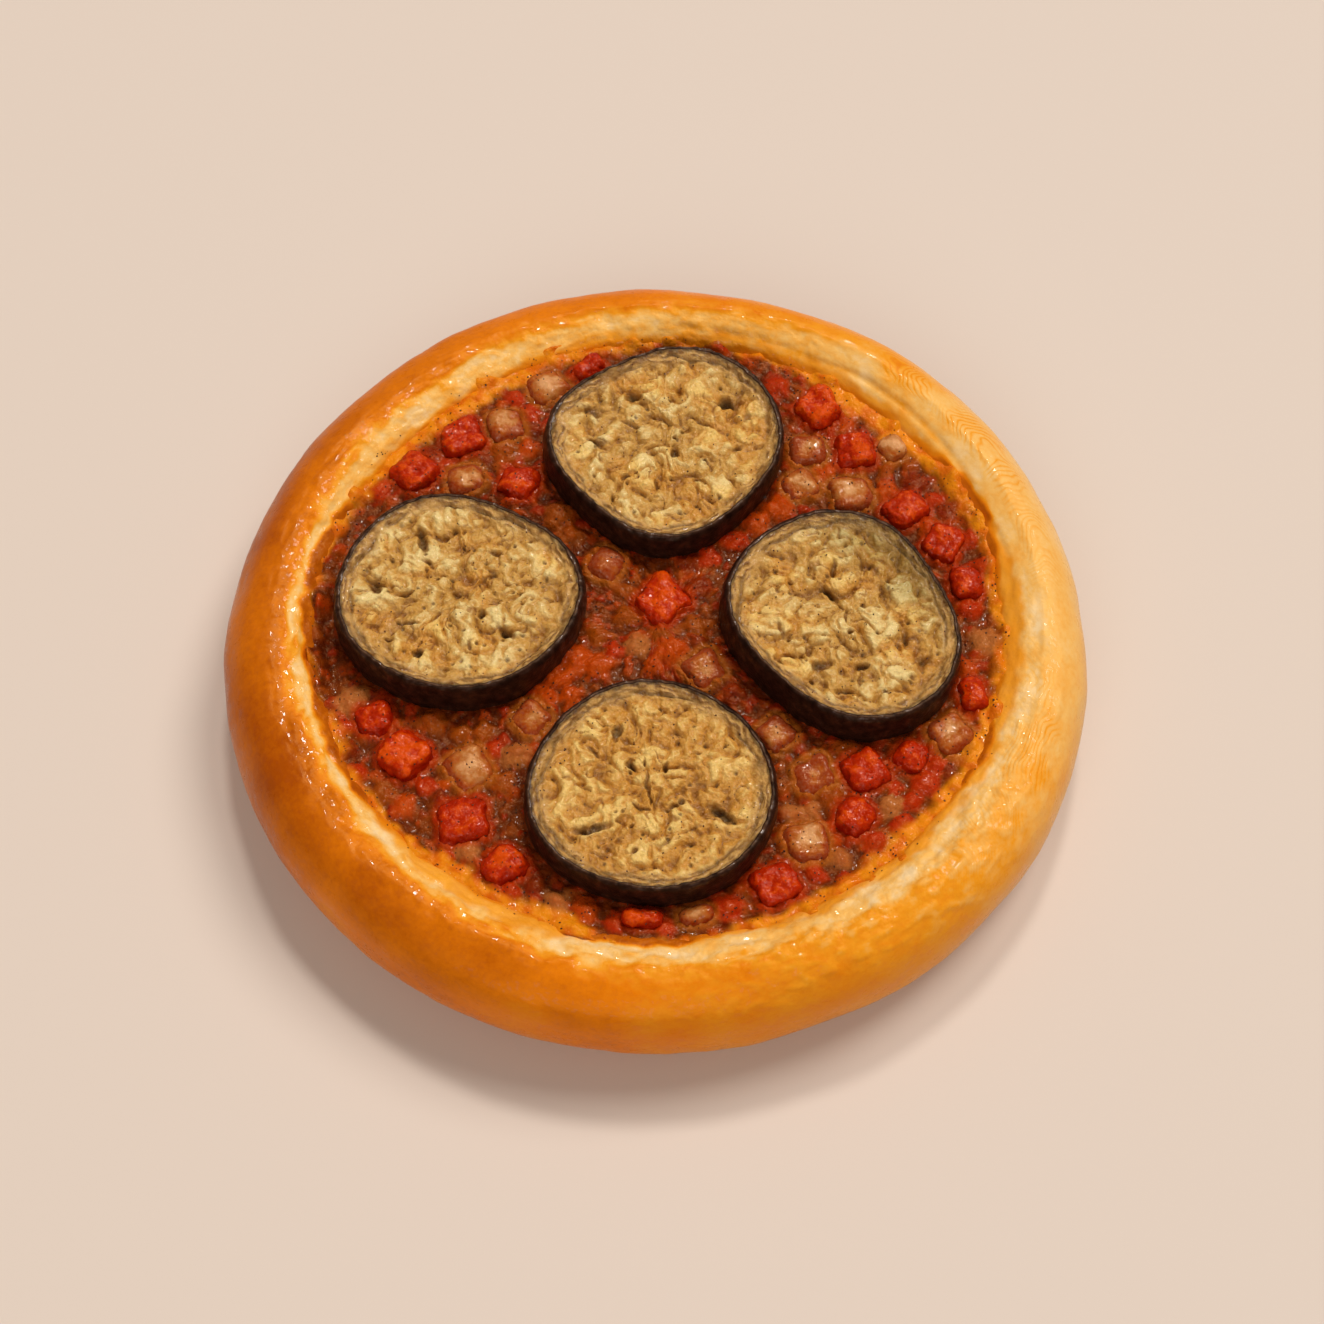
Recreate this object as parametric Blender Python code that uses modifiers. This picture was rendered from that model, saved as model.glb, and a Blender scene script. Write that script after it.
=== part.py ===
"""A sfiha: a round open bread, filled with a chunky tomato and onion sauce, under four roasted eggplant slices.

Every piece is a closed solid in its own object. Lengths below are millimetres, turned into metres once, by MM.
+Z is up, +X is to the right and +Y to the back. The origin is under the middle of the bread, on the flat face
that it rests on.
"""
import math
import random

import bmesh
import bpy
from mathutils import Euler, Matrix, Vector

MM = 0.001
GAP = 0.35                    # clearance between pieces that touch

# The bread: a puffy ring round a shallow well.
BREAD_RADIUS = 79.2
RIM_HEIGHT = 22.0
CREST_RADIUS = 70.0           # where the rim is highest
BELLY_HEIGHT = 11.0           # where the rim is widest
BELLY_POWER = 2.2             # 2 is an ellipse, more is a squarer flank
SHOULDER_RADIUS = 66.4        # where the crust turns down into the well
SHOULDER_HEIGHT = 21.1
WELL_RADIUS = 62.2            # at the sauce's surface
WELL_FOOT_RADIUS = 60.4
WELL_FLOOR = 10.5
WELL_SHIFT = Vector((0.5, 1.1))   # the well lies a little off the bread's middle
SHIFT_FULL_RADIUS = 66.0
SHIFT_END_RADIUS = 79.0
BREAD_STEPS = 80
CREST_WAVES = ((2, 0.35, 200.0), (3, 0.45, 65.0), (5, 0.25, 10.0))      # count, height, direction of a high
OUTLINE_WAVES = ((2, 0.4, 0.0), (3, 0.25, 205.0), (5, 0.15, 40.0))

# The sauce fills the well.
SAUCE_EDGE_HEIGHT = 18.3
SAUCE_DOME = 0.6              # how much higher the middle stands
SAUCE_WAVE = 0.35
SAUCE_WAVE_LENGTH = 24.0

# The eggplant slices: centre, mean radius and height of the cut face, how the skin leans and how the slice tips.
SLICE_THICKNESS = 8.8
SLICE_STEPS = 36
SLICES = {
    "eggplant_back": {
        "centre": (1.9, 37.1), "radius": 21.1, "face": 25.7, "lean": (-0.4, -0.2), "tip": (1.0, 1.0),
        "waves": ((2, 0.7, 28.0), (3, 0.8, 44.0), (4, 0.6, -5.0))},
    "eggplant_left": {
        "centre": (-36.3, 3.8), "radius": 21.4, "face": 25.6, "lean": (-0.2, -0.2), "tip": (-1.5, 0.5),
        "waves": ((2, 0.9, -14.0), (3, 0.4, -3.0), (4, 0.4, 15.0))},
    "eggplant_right": {
        "centre": (34.0, -0.8), "radius": 21.0, "face": 25.7, "lean": (-0.6, -0.3), "tip": (-1.0, 1.5),
        "waves": ((2, 2.0, -55.0), (3, 0.7, -55.0), (4, 0.3, -10.0))},
    "eggplant_front": {
        "centre": (-0.9, -35.3), "radius": 20.9, "face": 25.5, "lean": (-0.2, 0.1), "tip": (1.0, -0.5),
        "waves": ((2, 0.7, -4.0), (3, 0.4, -32.0), (4, 0.2, 13.0))},
}

# The larger dice: centre x and y, width, depth, and turn in degrees. They stand half sunk in the sauce.
DICE_BEVEL = 1.1
DICE_HEIGHT_SHARE = 0.82      # a die's height, as a share of its mean width
DICE_UNEVENNESS = 0.07
DICE_TIP = 7.0                # most degrees that a die leans
TOMATO_TOP = 21.2
ONION_TOP = 20.5
TOMATO_DICE = (
    (-37.3, 41.4, 8.5, 8.3, 20), (-46.2, 33.4, 7.9, 8.5, 50), (-26.4, 31.0, 8.1, 7.7, 70),
    (-13.3, 57.6, 7.5, 5.0, 36), (31.0, 47.6, 8.3, 7.9, 35), (37.7, 38.2, 7.9, 8.3, 8),
    (46.8, 25.1, 7.7, 7.3, 40), (53.6, 17.6, 7.7, 7.1, 65), (56.9, 9.2, 6.0, 7.3, 10),
    (1.0, 5.1, 8.9, 9.1, 45), (-50.8, -19.3, 6.9, 6.5, 15), (-44.7, -26.9, 8.3, 8.9, 48),
    (-33.7, -39.6, 9.1, 8.7, 12), (-26.5, -48.3, 7.7, 6.9, 40), (-2.2, -58.2, 7.3, 4.2, 0),
    (37.1, -29.5, 7.7, 7.9, 30), (45.2, -27.0, 6.0, 6.2, 62), (56.8, -14.3, 4.6, 7.1, 12),
    (20.6, -51.7, 8.3, 7.9, 28), (34.9, -38.8, 6.9, 6.7, 55),
)
ONION_DICE = (
    (-21.0, 53.3, 8.1, 7.7, 32), (-28.7, 44.3, 7.3, 7.5, 12), (-36.1, 31.8, 7.5, 6.9, 20),
    (28.8, 38.5, 6.5, 6.9, 5), (27.0, 30.3, 6.5, 6.9, 30), (36.5, 28.7, 8.1, 7.5, 15),
    (45.0, 39.0, 5.0, 5.2, 30), (-9.3, 12.8, 7.5, 6.9, 60), (-22.4, -19.1, 6.7, 7.5, 48),
    (-33.3, -28.9, 7.9, 8.1, 28), (8.5, -9.4, 7.7, 7.5, 35), (21.2, -22.1, 6.7, 6.7, 40),
    (28.0, -30.3, 7.3, 7.1, 25), (52.4, -22.3, 7.5, 7.1, 30), (26.5, -43.7, 7.5, 7.3, 15),
    (6.8, -57.4, 6.7, 3.8, 8),
)

# Base colour, roughness.
FINISHES = {
    "crust": ((0.72, 0.36, 0.09), 0.35),
    "sauce": ((0.46, 0.10, 0.025), 0.30),
    "eggplant": ((0.52, 0.38, 0.16), 0.50),
    "tomato": ((0.62, 0.05, 0.02), 0.25),
    "onion": ((0.72, 0.52, 0.40), 0.25),
}


def start():
    """Empty the scene and make the two collections."""
    for obj in list(bpy.data.objects):
        bpy.data.objects.remove(obj)
    made = []
    for name in ("sfiha", "cutters"):
        collection = bpy.data.collections.new(name)
        bpy.context.scene.collection.children.link(collection)
        made.append(collection)
    return made


def make_material(name):
    colour, roughness = FINISHES[name]
    material = bpy.data.materials.new(name)
    material.use_nodes = True
    shader = material.node_tree.nodes["Principled BSDF"]
    shader.inputs["Base Color"].default_value = (*colour, 1.0)
    shader.inputs["Roughness"].default_value = roughness
    shader.inputs["Metallic"].default_value = 0.0
    return material


def waves(angle, terms):
    """The sum of cosine waves round a circle. Each term is (count, height, direction of a high in degrees)."""
    return sum(height * math.cos(count * (angle - math.radians(direction))) for count, height, direction in terms)


def ease(start_value, end_value, value):
    """0 at start_value, 1 at end_value and smooth between."""
    share = min(1.0, max(0.0, (value - start_value) / (end_value - start_value)))
    return share * share * (3.0 - 2.0 * share)


def flank(power, degrees):
    """A point on the rim's outer side: 90 degrees is the crest, 0 the widest place and -90 the underside."""
    angle = math.radians(degrees)
    across = math.copysign(abs(math.cos(angle)) ** (2.0 / power), math.cos(angle))
    up = math.copysign(abs(math.sin(angle)) ** (2.0 / power), math.sin(angle))
    radius = CREST_RADIUS + (BREAD_RADIUS - CREST_RADIUS) * across
    rise = (RIM_HEIGHT - BELLY_HEIGHT) if up > 0 else BELLY_HEIGHT
    return radius, BELLY_HEIGHT + rise * up


def well_wall():
    """The well's side, from its foot up to the shoulder."""
    return [
        (WELL_FOOT_RADIUS, WELL_FLOOR), (WELL_RADIUS - 0.4, SAUCE_EDGE_HEIGHT - 2.5),
        (WELL_RADIUS + 0.2, SAUCE_EDGE_HEIGHT + 0.4), (WELL_RADIUS + 1.8, SAUCE_EDGE_HEIGHT + 1.7),
        (SHOULDER_RADIUS, SHOULDER_HEIGHT),
    ]


def bread_shape(point):
    """Move a point of the plain turned bread to its place in the slightly uneven one."""
    radius = math.hypot(point.x, point.y) / MM
    angle = math.atan2(point.y, point.x)
    shift = (1.0 - ease(SHIFT_FULL_RADIUS, SHIFT_END_RADIUS, radius)) * min(1.0, radius / WELL_FOOT_RADIUS)
    swell = waves(angle, OUTLINE_WAVES) * ease(WELL_FOOT_RADIUS, BREAD_RADIUS, radius)
    rise = waves(angle, CREST_WAVES) * ease(SAUCE_EDGE_HEIGHT, RIM_HEIGHT, point.z / MM)
    scale = (radius + swell) / radius if radius > 0 else 1.0
    return Vector((point.x * scale + WELL_SHIFT.x * shift * MM,
                   point.y * scale + WELL_SHIFT.y * shift * MM,
                   point.z + rise * MM))


def turned(name, profile, steps):
    """A closed mesh turned from (radius, height) points, which run from the top middle to the bottom middle."""
    section = bpy.data.meshes.new(name + "_section")
    section.from_pydata([(radius * MM, 0.0, height * MM) for radius, height in profile],
                        [(i, i + 1) for i in range(len(profile) - 1)], [])
    lathe = bpy.data.objects.new(name + "_lathe", section)
    bpy.context.scene.collection.objects.link(lathe)
    screw = lathe.modifiers.new("turn", "SCREW")
    screw.steps = steps
    screw.render_steps = steps
    screw.use_merge_vertices = True
    screw.merge_threshold = 0.00001
    mesh = bpy.data.meshes.new_from_object(lathe.evaluated_get(bpy.context.evaluated_depsgraph_get()))
    mesh.name = name
    bpy.data.objects.remove(lathe)
    bm = bmesh.new()
    bm.from_mesh(mesh)
    bmesh.ops.remove_doubles(bm, verts=bm.verts, dist=0.00001)
    bm.to_mesh(mesh)
    bm.free()
    return mesh


def place(name, mesh, collection, material=None):
    """An object of the mesh, shaded smooth except at its sharp edges."""
    obj = bpy.data.objects.new(name, mesh)
    collection.objects.link(obj)
    if material:
        mesh.materials.clear()
        mesh.materials.append(material)
        mesh.shade_smooth()
        mesh.set_sharp_from_angle(angle=math.radians(40))
    else:
        obj.hide_render = True
        obj.display_type = "WIRE"
    return obj


def bread_mesh():
    floor = [(0.0, WELL_FLOOR), (30.0, WELL_FLOOR)]
    side = [flank(BELLY_POWER, degrees) for degrees in (90, 68, 46, 24, 2, -20, -42, -66, -90)]
    mesh = turned("bread", floor + well_wall() + side + [(0.0, 0.0)], BREAD_STEPS)
    for vertex in mesh.vertices:
        vertex.co = bread_shape(vertex.co)
    return mesh


def sauce_height(x, y):
    """The sauce's surface, in millimetres, without its fine lumps."""
    share = min(1.0, math.hypot(x - WELL_SHIFT.x, y - WELL_SHIFT.y) / WELL_RADIUS)
    ripple = math.sin(x * math.tau / SAUCE_WAVE_LENGTH + 1.0) * math.sin(y * math.tau / SAUCE_WAVE_LENGTH + 2.0)
    return SAUCE_EDGE_HEIGHT + SAUCE_DOME * (1.0 - share * share) + SAUCE_WAVE * ripple * (1.0 - share ** 4)


def sauce_mesh():
    """The filling, a gap clear of the bread, and level across its top before the dice are set in."""
    wall = [(radius - GAP - 0.05, height) for radius, height in well_wall()[:2]]
    top = [(share * (WELL_RADIUS - GAP - 0.25), SAUCE_EDGE_HEIGHT) for share in (0.0, 0.3, 0.55, 0.8, 1.0)]
    profile = top + [wall[1], (wall[0][0], WELL_FLOOR + GAP), (0.0, WELL_FLOOR + GAP)]
    mesh = turned("filling", profile, BREAD_STEPS)
    for vertex in mesh.vertices:
        on_top = vertex.co.z > (SAUCE_EDGE_HEIGHT - 0.1) * MM
        vertex.co = bread_shape(vertex.co)
        if on_top:
            vertex.co.z = sauce_height(vertex.co.x / MM, vertex.co.y / MM) * MM
    return mesh


def slice_mesh(name, spec, grow=0.0):
    """One slice: a flat cut face, rounded edges and a skin that bulges and leans. grow makes it larger all round."""
    thickness = SLICE_THICKNESS + 2.0 * grow
    section = ((0.0, 1.0, 0.0), (0.90, 1.0, 0.0), (1.0, 0.97, 0.0), (1.0, 0.60, 0.6), (1.0, 0.25, 0.4),
               (0.98, 0.04, 0.1), (0.93, 0.0, 0.0), (0.0, 0.0, 0.0))     # share of radius, of height, bulge
    unit = [(share * spec["radius"] + bulge, height * thickness) for share, height, bulge in section]
    mesh = turned(name, unit, SLICE_STEPS)
    lean = Vector(spec["lean"])
    middle = Vector((*spec["centre"], spec["face"] + grow - thickness / 2.0))
    turn = Euler([math.radians(degrees) for degrees in (*spec["tip"], 0.0)]).to_matrix()
    for vertex in mesh.vertices:
        x, y, z = vertex.co / MM
        radius = math.hypot(x, y)
        wave = waves(math.atan2(y, x), spec["waves"]) + grow
        scale = 1.0 + wave / spec["radius"] if radius > 0 else 1.0
        drop = 1.0 - z / thickness
        local = Vector((x * scale + lean.x * drop, y * scale + lean.y * drop, z - thickness / 2.0))
        vertex.co = (turn @ local + middle) * MM
    return mesh


def die_mesh(name, spec, top, seed, grow=0.0):
    """One uneven die, its highest corner at the height top. grow makes it larger all round, with plain edges."""
    x, y, width, depth, turn = spec
    chance = random.Random(seed)
    height = DICE_HEIGHT_SHARE * (width + depth) / 2.0
    bm = bmesh.new()
    bmesh.ops.create_cube(bm, size=1.0)
    for corner in bm.verts:
        jitter = Vector([chance.uniform(-1.0, 1.0) for _ in range(3)]) * DICE_UNEVENNESS
        size = Vector((width, depth, height))
        corner.co = Vector([(corner.co[i] + 0.5 * jitter[i]) * size[i] + math.copysign(grow, corner.co[i])
                            for i in range(3)]) * MM
    if grow == 0.0:
        bmesh.ops.bevel(bm, geom=list(bm.edges), offset=DICE_BEVEL * MM, segments=1, affect="EDGES")
    tip = [math.radians(chance.uniform(-DICE_TIP, DICE_TIP)) for _ in range(2)]
    bm.transform(Euler((*tip, math.radians(turn))).to_matrix().to_4x4())
    lift = chance.uniform(-0.5, 0.3) + top - height / 2.0
    bm.transform(Matrix.Translation(Vector((x, y, lift)) * MM))
    mesh = bpy.data.meshes.new(name)
    bm.to_mesh(mesh)
    bm.free()
    return mesh


def dice(kind, specs, top, first_seed, parts, cutters, material):
    """Make the dice of one kind, and the cutters that make room for them in the sauce."""
    for number, spec in enumerate(specs, start=1):
        name = f"{kind}_{number:02d}"
        place(name, die_mesh(name, spec, top, first_seed + number), parts, material)
        place(name + "_pocket", die_mesh(name + "_pocket", spec, top, first_seed + number, GAP), cutters)


def cut_pockets(filling, cutters):
    """Cut the room for every slice and die out of the filling."""
    boolean = filling.modifiers.new("pockets", "BOOLEAN")
    boolean.operation = "DIFFERENCE"
    boolean.operand_type = "COLLECTION"
    boolean.collection = cutters
    boolean.use_self = True


def build():
    parts, cutters = start()
    materials = {name: make_material(name) for name in FINISHES}
    place("bread", bread_mesh(), parts, materials["crust"])
    filling = place("filling", sauce_mesh(), parts, materials["sauce"])
    for name, spec in SLICES.items():
        place(name, slice_mesh(name, spec), parts, materials["eggplant"])
        place(name + "_pocket", slice_mesh(name + "_pocket", spec, GAP), cutters)
    dice("tomato", TOMATO_DICE, TOMATO_TOP, 100, parts, cutters, materials["tomato"])
    dice("onion", ONION_DICE, ONION_TOP, 200, parts, cutters, materials["onion"])
    cut_pockets(filling, cutters)


build()
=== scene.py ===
# %% [markdown]
# # A sfiha with roasted eggplant
# A sfiha is a round open bread. This one has a puffy, egg-washed rim, a chunky tomato and onion sauce in
# its well, and four thick slices of roasted eggplant on top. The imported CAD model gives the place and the
# size of every piece. This lesson gives the pieces their fine shape and their finish. Lengths are in
# millimetres, and MM turns them into Blender's metres in one place.

# %% Load the frame
import math

import bmesh
import bpy
import numpy as np
from mathutils import Euler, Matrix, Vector


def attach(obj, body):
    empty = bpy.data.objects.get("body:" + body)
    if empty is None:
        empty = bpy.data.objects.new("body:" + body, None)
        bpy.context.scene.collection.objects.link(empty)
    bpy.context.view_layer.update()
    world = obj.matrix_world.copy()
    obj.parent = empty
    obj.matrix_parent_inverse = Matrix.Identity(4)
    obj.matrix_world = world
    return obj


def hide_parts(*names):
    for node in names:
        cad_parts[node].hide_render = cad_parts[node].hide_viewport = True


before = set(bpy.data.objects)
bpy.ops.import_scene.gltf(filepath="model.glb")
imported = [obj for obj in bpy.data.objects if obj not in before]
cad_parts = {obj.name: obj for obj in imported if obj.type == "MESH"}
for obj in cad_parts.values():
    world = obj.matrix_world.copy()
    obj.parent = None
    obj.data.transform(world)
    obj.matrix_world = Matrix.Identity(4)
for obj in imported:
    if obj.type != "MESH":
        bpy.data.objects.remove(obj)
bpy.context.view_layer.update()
MM = 0.001
scene = bpy.context.scene


def put(name, data):
    """Make an object of the data and put it in the scene."""
    made = bpy.data.objects.new(name, data)
    scene.collection.objects.link(made)
    return made


# %% [markdown]
# ## Camera, light and table
# The object is looked at from 61 degrees above the table with a 70 mm lens, half a metre away. Food looks
# soft and wet under one large lamp from the back right: it makes broad, soft highlights and a faint shadow
# at the front left. A weaker lamp fills in from the front, and a narrow one gives the tiny glints. The
# lamps are distant, so that the table is evenly lit from edge to edge.

# %% Camera
VIEW_ELEVATION = math.radians(61.0)
VIEW_DISTANCE = 489.76 * MM
VIEW_TARGET = Vector((0.96, 3.04, 0.0)) * MM

camera_data = bpy.data.cameras.new("camera")
camera = put("camera", camera_data)
camera_data.lens = 70.0
camera_data.sensor_width = 36.0
camera_data.clip_start = 0.01
towards_camera = Vector((0.0, -math.cos(VIEW_ELEVATION), math.sin(VIEW_ELEVATION)))
camera.location = VIEW_TARGET + towards_camera * VIEW_DISTANCE
camera.rotation_euler = (math.pi / 2.0 - VIEW_ELEVATION, 0.0, 0.0)
scene.camera = camera
print("camera:", [round(v, 4) for v in camera.location])


# %% Lights
def soft_sun(name, azimuth, elevation, power, spread, colour):
    """A distant lamp, spread degrees wide. Azimuth 0 is the right, 90 the back."""
    data = bpy.data.lights.new(name, "SUN")
    data.energy = power
    data.angle = math.radians(spread)
    data.color = colour
    lamp = put(name, data)
    turn, rise = math.radians(azimuth), math.radians(elevation)
    level = math.cos(rise)
    lamp.location = Vector((math.cos(turn) * level, math.sin(turn) * level, math.sin(rise))) * 0.6
    lamp.rotation_euler = (-lamp.location).to_track_quat("-Z", "Y").to_euler()
    return lamp


soft_sun("key", 44.0, 53.0, 1.70, 26.0, (1.0, 0.97, 0.93))
soft_sun("front fill", -100.0, 44.0, 1.10, 50.0, (1.0, 0.96, 0.91))
soft_sun("sparkle", 84.0, 56.0, 1.02, 8.0, (1.0, 0.98, 0.95))
world = bpy.data.worlds.new("room")
scene.world = world
world.use_nodes = True
world.node_tree.nodes["Background"].inputs["Color"].default_value = (1.0, 0.955, 0.905, 1.0)
world.node_tree.nodes["Background"].inputs["Strength"].default_value = 0.21
scene.view_settings.view_transform = "Standard"
scene.view_settings.look = "None"

# %% [markdown]
# ## Small tools for noise
# Baked and cooked surfaces are uneven at several sizes at once. Three kinds of noise cover them: soft noise
# for broad swells, the same noise added up at smaller and smaller sizes for rough surfaces, and cells for
# lumps that press against each other. They work on whole arrays of points, so a mesh with 100,000 points
# takes a moment.


# %% Soft noise
def scramble(ix, iy, iz, seed):
    """A number from 0 to 1 for every lattice point, always the same for the same point and seed."""
    ix, iy, iz = (np.asarray(part).astype(np.int64) for part in (ix, iy, iz))
    value = (ix * 73856093) ^ (iy * 19349663) ^ (iz * 83492791)
    value = (value ^ (seed * 2654435761)) & 0xFFFFFFFF
    for shift in (15, 12, 14):
        value = ((value ^ (value >> shift)) * 2246822519) & 0xFFFFFFFF
    return (value ^ (value >> 16)) / 4294967295.0


def soft_noise(points, size, seed=0):
    """Smooth gradient noise, about -1 to 1. A blob is about size wide."""
    q = np.asarray(points, float) / size
    base = np.floor(q)
    f = q - base
    base = base.astype(np.int64)
    w = f * f * f * (f * (f * 6.0 - 15.0) + 10.0)
    total = np.zeros(len(q))
    for dx in (0, 1):
        for dy in (0, 1):
            for dz in (0, 1):
                cell = (base[:, 0] + dx, base[:, 1] + dy, base[:, 2] + dz)
                turn = scramble(*cell, seed) * math.tau
                up = scramble(*cell, seed + 77) * 2.0 - 1.0
                flat = np.sqrt(1.0 - up * up)
                dot = (flat * np.cos(turn) * (f[:, 0] - dx) + flat * np.sin(turn) * (f[:, 1] - dy)
                       + up * (f[:, 2] - dz))
                weight = ((w[:, 0] if dx else 1.0 - w[:, 0]) * (w[:, 1] if dy else 1.0 - w[:, 1])
                          * (w[:, 2] if dz else 1.0 - w[:, 2]))
                total += weight * dot
    return total * 1.6


def rough_noise(points, size, octaves, seed=0):
    """Soft noise at size, size/2, size/4 and so on, each half as strong as the one before."""
    return sum(soft_noise(points, size / 2 ** n, seed + 13 * n) / 2 ** n for n in range(octaves))


def billow(points, size, octaves, seed=0):
    """Rounded lumps with narrow creases between them: 0 in a crease and about 1 on a lump."""
    return sum(np.minimum(1.0, 2.2 * np.abs(soft_noise(points, size / 2 ** n, seed + 17 * n))) / 2 ** n
               for n in range(octaves)) / (2.0 - 0.5 ** (octaves - 1))


def tilted(x, y, slide=0.0):
    """Places for noise over a flat piece: a slanted cut, so that no row of the noise's grid shows in it."""
    return np.column_stack([0.8 * x - 0.6 * y, 0.6 * x + 0.8 * y, 0.31 * x + 0.17 * y + 3.1 + slide])


def ease(low, high, value):
    """0 below low, 1 above high and smooth between. It runs the other way where low is above high."""
    share = np.clip((value - low) / (high - low), 0.0, 1.0)
    return share * share * (3.0 - 2.0 * share)


def facing(degrees, direction, width):
    """1 in a direction round a ring, falling to 0 at width degrees from it."""
    return ease(width, 0.0, np.abs((degrees - direction + 180.0) % 360.0 - 180.0))


def mix(a, b, share):
    """a where share is 0 and b where it is 1, for numbers or for rows of colours."""
    share = np.asarray(share, float)
    if np.ndim(a) > 0 and np.shape(a)[-1] == 3 and share.ndim == 1 and np.shape(a) != share.shape:
        share = share[:, None]
    elif np.ndim(b) > 0 and np.shape(b)[-1] == 3 and share.ndim == 1 and np.shape(b) != share.shape:
        share = share[:, None]
    return np.asarray(a) * (1.0 - share) + np.asarray(b) * share


print("noise at the origin:", soft_noise(np.zeros((1, 3)), 1.0)[0])


# %% Cells
def cells(x, y, size, seed=0):
    """Scattered seeds, one a square. Returns the distance to the nearest one, and that seed's own number."""
    first = np.full(len(x), 9.0)
    number = np.zeros(len(x))
    ix, iy = np.floor(x / size), np.floor(y / size)
    zero = np.zeros(len(x))
    for dx in (-1, 0, 1):
        for dy in (-1, 0, 1):
            jx, jy = ix + dx, iy + dy
            px = jx + 0.1 + 0.8 * scramble(jx, jy, zero, seed)
            py = jy + 0.1 + 0.8 * scramble(jx, jy, zero, seed + 1)
            distance = np.hypot(x / size - px, y / size - py)
            nearer = distance < first
            number = np.where(nearer, scramble(jx, jy, zero, seed + 2), number)
            first = np.where(nearer, distance, first)
    return first * size, number


print("cells:", [round(float(v[0]), 3) for v in cells(np.array([0.4]), np.array([0.2]), 1.0)])

# %% [markdown]
# ## Small tools for node trees
# Geometry trees and materials are both made of nodes. One function adds a node, sets its options, and
# either sets an input or links it, so that a tree reads like a recipe.


# %% Node tools
def add_node(tree, kind, values=(), options=None, **named):
    """Add a node. values fill its inputs in order, named ones by name, _ for a space. Sockets are linked."""
    made = tree.nodes.new(kind)
    for key, value in (options or {}).items():
        setattr(made, key, value)
    pairs = [(i, v) for i, v in enumerate(values)] + [(k.replace("_", " "), v) for k, v in named.items()]
    for key, value in pairs:
        if value is None:
            continue
        if isinstance(value, bpy.types.NodeSocket):
            tree.links.new(value, made.inputs[key])
        else:
            made.inputs[key].default_value = value
    return made


def maths(tree, operation, *values, clamp=False):
    kind = "ShaderNodeMath"
    return add_node(tree, kind, values, {"operation": operation, "use_clamp": clamp}).outputs[0]


def times(tree, a, b, clamp=False):
    return maths(tree, "MULTIPLY", a, b, clamp=clamp)


def times_plus(tree, a, b, c):
    """a times b, plus c."""
    return maths(tree, "MULTIPLY_ADD", a, b, c)


def plus(tree, a, b):
    return maths(tree, "ADD", a, b)


def minus(tree, a, b):
    return maths(tree, "SUBTRACT", a, b)


def between(tree, value, low, high):
    """How far value is on its way from low to high, from 0 to 1."""
    return add_node(tree, "ShaderNodeMapRange", (value, low, high, 0.0, 1.0)).outputs[0]


def ramp(tree, factor, stops):
    """A colour ramp. stops are (place, colour) pairs, with colours of three numbers."""
    made = add_node(tree, "ShaderNodeValToRGB", (factor,))
    band = made.color_ramp
    while len(band.elements) < len(stops):
        band.elements.new(0.5)
    for element, (place, colour) in zip(band.elements, stops):
        element.position = place
        element.color = (*colour, 1.0)
    return made.outputs["Color"]


def blend_colours(tree, factor, a, b):
    """Colour a where factor is 0 and b where it is 1."""
    made = tree.nodes.new("ShaderNodeMix")
    made.data_type = "RGBA"
    for socket, value in ((made.inputs[0], factor), (made.inputs[6], a), (made.inputs[7], b)):
        if isinstance(value, bpy.types.NodeSocket):
            tree.links.new(value, socket)
        else:
            socket.default_value = value if not isinstance(value, tuple) else (*value, 1.0)[:4]
    return made.outputs[2]


def new_tree(name, kind, inputs, outputs):
    """A node group with named sockets. inputs are (name, type, default), outputs (name, type)."""
    tree = bpy.data.node_groups.new(name, kind)
    for title, socket, default in inputs:
        made = tree.interface.new_socket(title, in_out="INPUT", socket_type=socket)
        if default is not None:
            made.default_value = default
    for title, socket in outputs:
        tree.interface.new_socket(title, in_out="OUTPUT", socket_type=socket)
    return tree, tree.nodes.new("NodeGroupInput").outputs, tree.nodes.new("NodeGroupOutput").inputs


def close_tree(tree, geometry, given, result):
    """End a geometry tree: make the copies real, give them the finish and hand the mesh out."""
    real = add_node(tree, "GeometryNodeRealizeInstances", Geometry=geometry)
    dressed = add_node(tree, "GeometryNodeSetMaterial", Geometry=real.outputs[0], Material=given["Finish"])
    tree.links.new(dressed.outputs[0], result["Geometry"])


def grow(mesh, tree, **settings):
    """Run a geometry tree on a mesh and return the plain mesh that it makes."""
    holder = put("holder", mesh)
    modifier = holder.modifiers.new(tree.name, "NODES")
    modifier.node_group = tree
    sockets = {item.name: item.identifier for item in tree.interface.items_tree
               if item.item_type == "SOCKET" and item.in_out == "INPUT"}
    for key, value in settings.items():
        modifier[sockets[key.replace("_", " ")]] = value
    bpy.context.view_layer.update()
    depsgraph = bpy.context.evaluated_depsgraph_get()
    grown = bpy.data.meshes.new_from_object(holder.evaluated_get(depsgraph), preserve_all_data_layers=True,
                                            depsgraph=depsgraph)
    bpy.data.objects.remove(holder)
    return grown


print("node tools ready")


# %% Mesh tools
def points_of(mesh):
    """The mesh's points in millimetres, one row each."""
    flat = np.zeros(len(mesh.vertices) * 3)
    mesh.vertices.foreach_get("co", flat)
    return flat.reshape(-1, 3) / MM


def move_points(mesh, points):
    mesh.vertices.foreach_set("co", (points * MM).ravel())
    mesh.update()


def normals_of(mesh):
    flat = np.zeros(len(mesh.vertices) * 3)
    mesh.vertex_normals.foreach_get("vector", flat)
    return flat.reshape(-1, 3)


def read_layer(mesh, name):
    values = np.zeros(len(mesh.vertices))
    mesh.attributes[name].data.foreach_get("value", values)
    return values


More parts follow.
